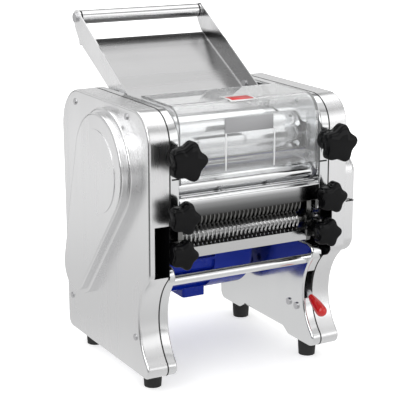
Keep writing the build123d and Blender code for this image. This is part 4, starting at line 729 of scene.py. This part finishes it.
class PASTA_OT_cutter(bpy.types.Operator):
    """Cutter rollers, end plates, bars and combs."""
    bl_idname = "pasta.cutter"
    bl_label = "Pasta cutter"

    def execute(self, context):
        size = sizes()
        # Painted shade: the upper roller takes the darkened steel.
        self.roller("upper_cutter_roller", size.ring_count, "painted_shade_steel")
        self.roller("lower_cutter_roller", size.ring_count - 1, "cutter")
        dress("cutter", "cutter_bars")
        # Painted shade: the end plates take the darkened steel.
        dress("painted_shade_steel", "cutter_end_plates")
        dress("knob", "cutter_combs")
        return {"FINISHED"}

    def roller(self, node, rings, finish):
        """A turned roller in place of the many-sided one, beside its own gear."""
        work = node_copy(node)
        skins = sorted(islands(work), key=lambda skin: skin_box(skin)[1].x - skin_box(skin)[0].x)
        low, high = skin_box(skins[-1])
        bmesh.ops.delete(work, geom=skins[-1], context="VERTS")
        mark_creases(work, 30.0)
        y, z = (low.y + high.y) / 2, (low.z + high.z) / 2
        points = [(x, y, z + radius) for x, radius in self.profile(low.x, high.x, rings)]
        turn_profile(work, points, (0.0, y, z), (1.0, 0.0, 0.0), sizes().ring_sides)
        new_piece(work, node + "_turned", finish, node_body(node), (node,))

    def profile(self, x_left, x_right, rings):
        """Half section of a cutter roller: (x, radius) points from end to end."""
        size = sizes()
        shaft, core, rim = size.cutter_shaft, size.core_radius, size.ring_radius
        half, chamfer = size.ring_width / 2, 0.0005
        reach = (size.ring_count - 1) / 2 * size.ring_pitch + half
        points = [(x_left, 0.0), (x_left, shaft - chamfer), (x_left + chamfer, shaft), (-reach, shaft)]
        if rings < size.ring_count:
            points.append((-reach, core))
        for index in range(rings):
            x = (index - (rings - 1) / 2) * size.ring_pitch
            points += [(x - half, core), (x - half, rim - chamfer), (x - half + chamfer, rim),
                       (x, rim - chamfer * 0.6), (x + half - chamfer, rim), (x + half, rim - chamfer),
                       (x + half, core)]
        if rings < size.ring_count:
            points.append((reach, core))
        return points + [(reach, shaft), (x_right - chamfer, shaft), (x_right, shaft - chamfer),
                         (x_right, 0.0)]


class PASTA_OT_knobs(bpy.types.Operator):
    """Star knobs with their screws and studs."""
    bl_idname = "pasta.knobs"
    bl_label = "Star knobs"

    def execute(self, context):
        for side, lag in (("left", 0.0), ("right", 5.0)):
            for kind, turn in (("gap_knob", -20.0), ("plate_knob", -17.0), ("cutter_knob", -14.0)):
                self.knob(f"{side}_{kind}", turn - lag)
            dress("turned", f"{side}_gap_spindle")
        dress("turned", "knob_studs")
        return {"FINISHED"}

    def knob(self, node, turn):
        """A domed star grip grown from the outline of the CAD grip, on a stepped hub."""
        work = node_copy(node)
        low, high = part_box(node)
        centre = self.centre(work, high.y)
        reach = self.reach(work, centre)
        back_y = low.y + sizes().grip_thickness
        rim = self.outline(work, centre, back_y, reach * 0.6)
        spin = Matrix.Rotation(math.radians(turn), 4, "Y")
        bmesh.ops.rotate(work, verts=work.verts, cent=centre, matrix=spin)
        self.soften(work, centre, reach)
        self.grow(work, rim, centre, low.y, back_y)
        hub, seat = reach * 0.52, high.y
        profile = [(back_y - 0.001, hub * 0.9), (back_y + 0.0006, hub * 0.97), (back_y + 0.0012, hub),
                   (seat - 0.0035, hub), (seat - 0.003, hub * 0.94), (seat - 0.0008, hub * 0.94),
                   (seat, hub * 0.90), (seat, hub * 0.3)]
        points = [(centre.x + radius, y, centre.z) for y, radius in profile]
        turn_profile(work, points, centre, (0.0, 1.0, 0.0), 40)
        new_piece(work, node + "_grip", "knob", node_body(node), (node,), crease=50.0)

    def centre(self, work, seat_y):
        """Where a knob's axis stands, at y = 0: the middle of its round seat."""
        low, high = skin_box([vert for vert in work.verts if abs(vert.co.y - seat_y) < 1e-5])
        return Vector(((low.x + high.x) / 2, 0.0, (low.z + high.z) / 2))

    def reach(self, work, centre):
        """How far a knob's lobes stand out from its axis."""
        return max(math.hypot(v.co.x - centre.x, v.co.z - centre.z) for v in work.verts)

    def outline(self, work, centre, back_y, inside):
        """Keep only the loop round the back of the grip."""
        def on_rim(vert):
            out = math.hypot(vert.co.x - centre.x, vert.co.z - centre.z)
            return abs(vert.co.y - back_y) < 1e-5 and out > inside
        keep_edges(work, outline_edges(work, on_rim))
        return work.edges[:]

    def soften(self, work, centre, reach):
        """Fill the valleys between the lobes a little, and bring the star back to its full reach."""
        for _ in range(120):
            bmesh.ops.smooth_vert(work, verts=work.verts, factor=0.5, use_axis_x=True, use_axis_z=True)
        factor = reach / self.reach(work, centre)
        bmesh.ops.scale(work, verts=work.verts, vec=(factor, 1.0, factor),
                        space=Matrix.Translation(-centre))

    def grow(self, work, rim, centre, front_y, back_y):
        """Raise a rim into a domed grip by the dome's steps."""
        middle = Vector((centre.x, back_y, centre.z))
        share, height, loop = 1.0, 0.0, rim
        for new_share, new_height in DOME_STEPS:
            verts, loop = extrude_edges(work, loop)
            factor = new_share / share
            bmesh.ops.scale(work, verts=verts, vec=(factor, 1.0, factor),
                            space=Matrix.Translation(-middle))
            rise = (new_height - height) * (back_y - front_y)
            bmesh.ops.translate(work, verts=verts, vec=(0.0, -rise, 0.0))
            share, height = new_share, new_height
        bmesh.ops.contextual_create(work, geom=loop)
        bmesh.ops.contextual_create(work, geom=rim)


class PASTA_OT_tray(bpy.types.Operator):
    """Feed tray with its handle tube."""
    bl_idname = "pasta.tray"
    bl_label = "Feed tray"

    def execute(self, context):
        dress("tray", "feed_tray")
        dress("tube", "handle_tube")
        dress("turned", "handle_axle")
        return {"FINISHED"}


class PASTA_OT_guard(bpy.types.Operator):
    """Clear guard with its bare label plate and sticker."""
    bl_idname = "pasta.guard"
    bl_label = "Guard"

    def execute(self, context):
        dress("clear", "guard")
        size, rim = sizes(), 0.0016
        self.front_plates("label_plate", "label", "cover_steel", [LABEL_MIDDLE],
                          (size.plate_width, 0.0008, size.plate_height), 0.00025)
        self.front_plates("label_rim", "plated", "cover_steel", [LABEL_MIDDLE],
                          (size.plate_width + rim, 0.0004, size.plate_height + rim), 0.0001)
        self.screws()
        self.front_plates("guard_ribs", "frosted", "clear_plastic", [(-0.0348, 0.3015), (0.0345, 0.3015)],
                          (0.0022, 0.0008, 0.0465), 0.0003)
        self.sticker(size.sticker_width / 2)
        return {"FINISHED"}

    def front_plates(self, name, finish, slot, middles, size, bevel):
        """Small plates on the guard's front face, with their middles at (x, z)."""
        back_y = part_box("guard")[0].y
        work = bmesh.new()
        for x, z in middles:
            plate(work, (x, back_y - size[1] / 2, z), size, bevel)
        new_piece(work, name, finish, "frame")

    def screws(self):
        """The two small screws of the guard's end flange, each with its lean in degrees."""
        work = bmesh.new()
        for place, lean in (((0.072, -0.1252, 0.3552), 41.0), ((0.087, -0.1346, 0.287), 90.0)):
            spot = Matrix.Translation(place) @ Matrix.Rotation(math.radians(lean), 4, "X")
            bmesh.ops.create_cone(work, cap_ends=True, segments=20, radius1=0.0024, radius2=0.0018,
                                  depth=0.0012, matrix=spot)
        new_piece(work, "guard_screws", "plated", "frame")

    def sticker(self, half):
        """Bare red sticker on a white ground, where the guard's top begins to curve down."""
        top_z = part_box("guard")[1].z
        middle_x, flat, bent = 0.001, 0.020, 0.010
        for name, finish, rim, rear_rim, lift in (("sticker_ground", "border", 0.0, 0.0, 0.0001),
                                                  ("sticker_field", "sticker", 0.0035, 0.0084, 0.00025)):
            work = bmesh.new()
            curved_strip(work, (middle_x - half + rim, middle_x + half - rim), top_z + lift,
                         GUARD_BEND[0] + flat - rear_rim, bent - rim)
            piece = new_piece(work, name, finish, "frame")
            thicken(piece, "Sheet", 0.0001, 1.0)


class PASTA_OT_motor(bpy.types.Operator):
    """Motor with its wiring box and fan."""
    bl_idname = "pasta.motor"
    bl_label = "Motor"

    def execute(self, context):
        dress("motor", "motor_housing", "motor_bell", "fan_cover", "terminal_box")
        dress("knob", "cooling_fan")
        return {"FINISHED"}


class PASTA_OT_switch(bpy.types.Operator):
    """Switch, its lever and red grip, and the cord's gland."""
    bl_idname = "pasta.switch"
    bl_label = "Switch"

    def execute(self, context):
        dress("knob", "switch_body", "cable_gland")
        dress("turned", "switch_lever")
        dress("grip", "switch_grip")
        return {"FINISHED"}


class PASTA_OT_fasteners(bpy.types.Operator):
    """Screws, bolts, tie rods, standoffs and feet."""
    bl_idname = "pasta.fasteners"
    bl_label = "Fasteners and feet"

    def execute(self, context):
        dress("turned", "casing_screws", "frame_bolts", "cover_standoffs")
        dress("ground", "tie_rods")
        dress("rubber", "rubber_feet")
        return {"FINISHED"}


class PASTA_OT_stage(bpy.types.Operator):
    """Floor, world, lights and camera."""
    bl_idname = "pasta.stage"
    bl_label = "Stage, light and camera"

    def execute(self, context):
        self.floor()
        self.world(context.scene)
        self.lights(context.scene)
        self.camera(context.scene)
        context.scene.view_settings.view_transform = "Standard"
        return {"FINISHED"}

    def floor(self):
        """A wide pale floor that shows white and keeps the shadow."""
        work = bmesh.new()
        bmesh.ops.create_grid(work, x_segments=1, y_segments=1, size=12.0)
        paint = bpy.data.materials.new("Pale floor")
        tree = emptied(paint)
        path = tree.add("ShaderNodeLightPath").outputs
        matt = tree.add("ShaderNodeBsdfDiffuse", {"Color": (0.86, 0.86, 0.86, 1.0)})
        lift = tree.spread(tree.vector_maths("LENGTH", tree.place()), 0.4, 1.2, studio().floor_glow, 1.0)
        level = tree.maths("MULTIPLY", self.seen_directly(tree, path), lift)
        glow = tree.add("ShaderNodeEmission", {"Color": (1.0, 1.0, 1.0, 1.0), "Strength": level})
        both = tree.add("ShaderNodeAddShader", {0: matt.outputs["BSDF"], 1: glow.outputs["Emission"]})
        mirrored = tree.add("ShaderNodeEmission", {"Color": self.reflected_floor(tree)})
        pick = tree.add("ShaderNodeMixShader", {0: path["Is Glossy Ray"], 1: both.outputs["Shader"],
                                                2: mirrored.outputs["Emission"]})
        tree.add("ShaderNodeOutputMaterial", {"Surface": pick.outputs["Shader"]})
        floor = place_object(work, "floor", paint)

    def seen_directly(self, tree, path):
        """Mask of the rays that come from the camera, also through clear sheet."""
        return tree.maths("MAXIMUM", path["Is Camera Ray"], path["Is Transmission Ray"])

    def reflected_floor(self, tree):
        """What polished steel sees of the floor: dark near the machine, pale farther off."""
        place = tree.place()
        reach = tree.vector_maths("LENGTH", place)
        tone = tree.greys(tree.spread(reach, 0.15, 2.4), SEEN_FLOOR_GREYS)
        far = tree.spread(reach, 0.35, 0.70)
        for flag in (LEFT_FLAG, REAR_FLAG):
            tone = tree.mix(far, tone, self.flag(tree, place, *flag), "MULTIPLY")
        return tone

    def flag(self, tree, vector, toward, cosines):
        """Shade of a dark flag that stands off the machine."""
        unit = tree.add("ShaderNodeVectorMath", {0: vector}, operation="NORMALIZE").outputs["Vector"]
        return tree.spread(tree.vector_maths("DOT_PRODUCT", unit, toward), *cosines, 1.0, 0.12)

    def world(self, scene):
        """Pale studio with a darker band for polished metal to show."""
        scene.world = bpy.data.worlds.new("Studio")
        tree = emptied(scene.world)
        place = tree.place("Generated")
        sky = tree.greys(tree.part_of(place, "Z"), SEEN_SKY_GREYS)
        tone = tree.mix(1.0, sky, self.flag(tree, place, *LEFT_FLAG), "MULTIPLY")
        dim = tree.add("ShaderNodeBackground", {"Color": tone, "Strength": 0.9})
        white = tree.add("ShaderNodeBackground", {"Color": (1.0, 1.0, 1.0, 1.0), "Strength": 1.0})
        path = tree.add("ShaderNodeLightPath").outputs
        pick = tree.add("ShaderNodeMixShader", {0: self.seen_directly(tree, path),
                                                1: dim.outputs["Background"],
                                                2: white.outputs["Background"]})
        tree.add("ShaderNodeOutputWorld", {"Surface": pick.outputs["Shader"]})

    def lights(self, scene):
        """Three softboxes that face the machine's middle."""
        light, middle = studio(), Vector((0.0, 0.0, 0.22))
        for name, place, size, power in (("key_softbox", (-1.7, -1.2, 1.5), (1.5, 2.0), light.key),
                                         ("fill_softbox", (1.5, -1.8, 0.9), (1.6, 2.0), light.fill),
                                         ("top_softbox", (0.1, 0.3, 2.2), (2.6, 2.2), light.top)):
            data = bpy.data.lights.new(name, "AREA")
            data.shape, data.energy = "RECTANGLE", power
            data.size, data.size_y = size
            lamp = bpy.data.objects.new(name, data)
            scene.collection.objects.link(lamp)
            lamp.location = place
            lamp.rotation_euler = (middle - Vector(place)).to_track_quat("-Z", "Y").to_euler()

    def camera(self, scene):
        """Camera at the measured viewing angle."""
        view = studio()
        data = bpy.data.cameras.new("camera")
        data.lens, data.sensor_width = view.lens, 36.0
        data.clip_start, data.clip_end = 0.05, 50.0
        camera = bpy.data.objects.new("camera", data)
        scene.collection.objects.link(camera)
        turn, rise = math.radians(view.azimuth), math.radians(view.elevation)
        back = Vector((math.sin(turn) * math.cos(rise), -math.cos(turn) * math.cos(rise), math.sin(rise)))
        camera.location = view.camera_place
        camera.rotation_euler = (-back).to_track_quat("-Z", "Y").to_euler()
        scene.camera = camera


OPERATORS = (PASTA_OT_panels, PASTA_OT_rollers, PASTA_OT_drive, PASTA_OT_cutter, PASTA_OT_knobs,
             PASTA_OT_tray, PASTA_OT_guard, PASTA_OT_motor, PASTA_OT_switch, PASTA_OT_fasteners,
             PASTA_OT_stage)
SETTINGS = {"pasta_sizes": PastaSizes, "pasta_colours": PastaColours, "pasta_studio": PastaStudio}


class PASTA_PT_panel(bpy.types.Panel):
    """Sidebar panel that lists the pieces."""
    bl_idname = "PASTA_PT_panel"
    bl_label = "Pasta maker"
    bl_space_type = "VIEW_3D"
    bl_region_type = "UI"
    bl_category = "Pasta maker"

    def draw(self, context):
        for operator in OPERATORS:
            self.layout.operator(operator.bl_idname)
        for name, kind in SETTINGS.items():
            box = self.layout.box()
            for setting in kind.__annotations__:
                box.prop(getattr(context.scene, name), setting)


CLASSES = (*SETTINGS.values(), *OPERATORS, PASTA_PT_panel)


def register():
    """Register the classes and the scene's settings."""
    for cls in CLASSES:
        bpy.utils.register_class(cls)
    for name, kind in SETTINGS.items():
        setattr(bpy.types.Scene, name, bpy.props.PointerProperty(type=kind))


def unregister():
    """Take everything out again."""
    for name in SETTINGS:
        delattr(bpy.types.Scene, name)
    for cls in reversed(CLASSES):
        bpy.utils.unregister_class(cls)


def main():
    """Build the machine."""
    register()
    for operator in OPERATORS:
        family, name = operator.bl_idname.split(".")
        getattr(getattr(bpy.ops, family), name)()


if __name__ == "__main__":
    main()
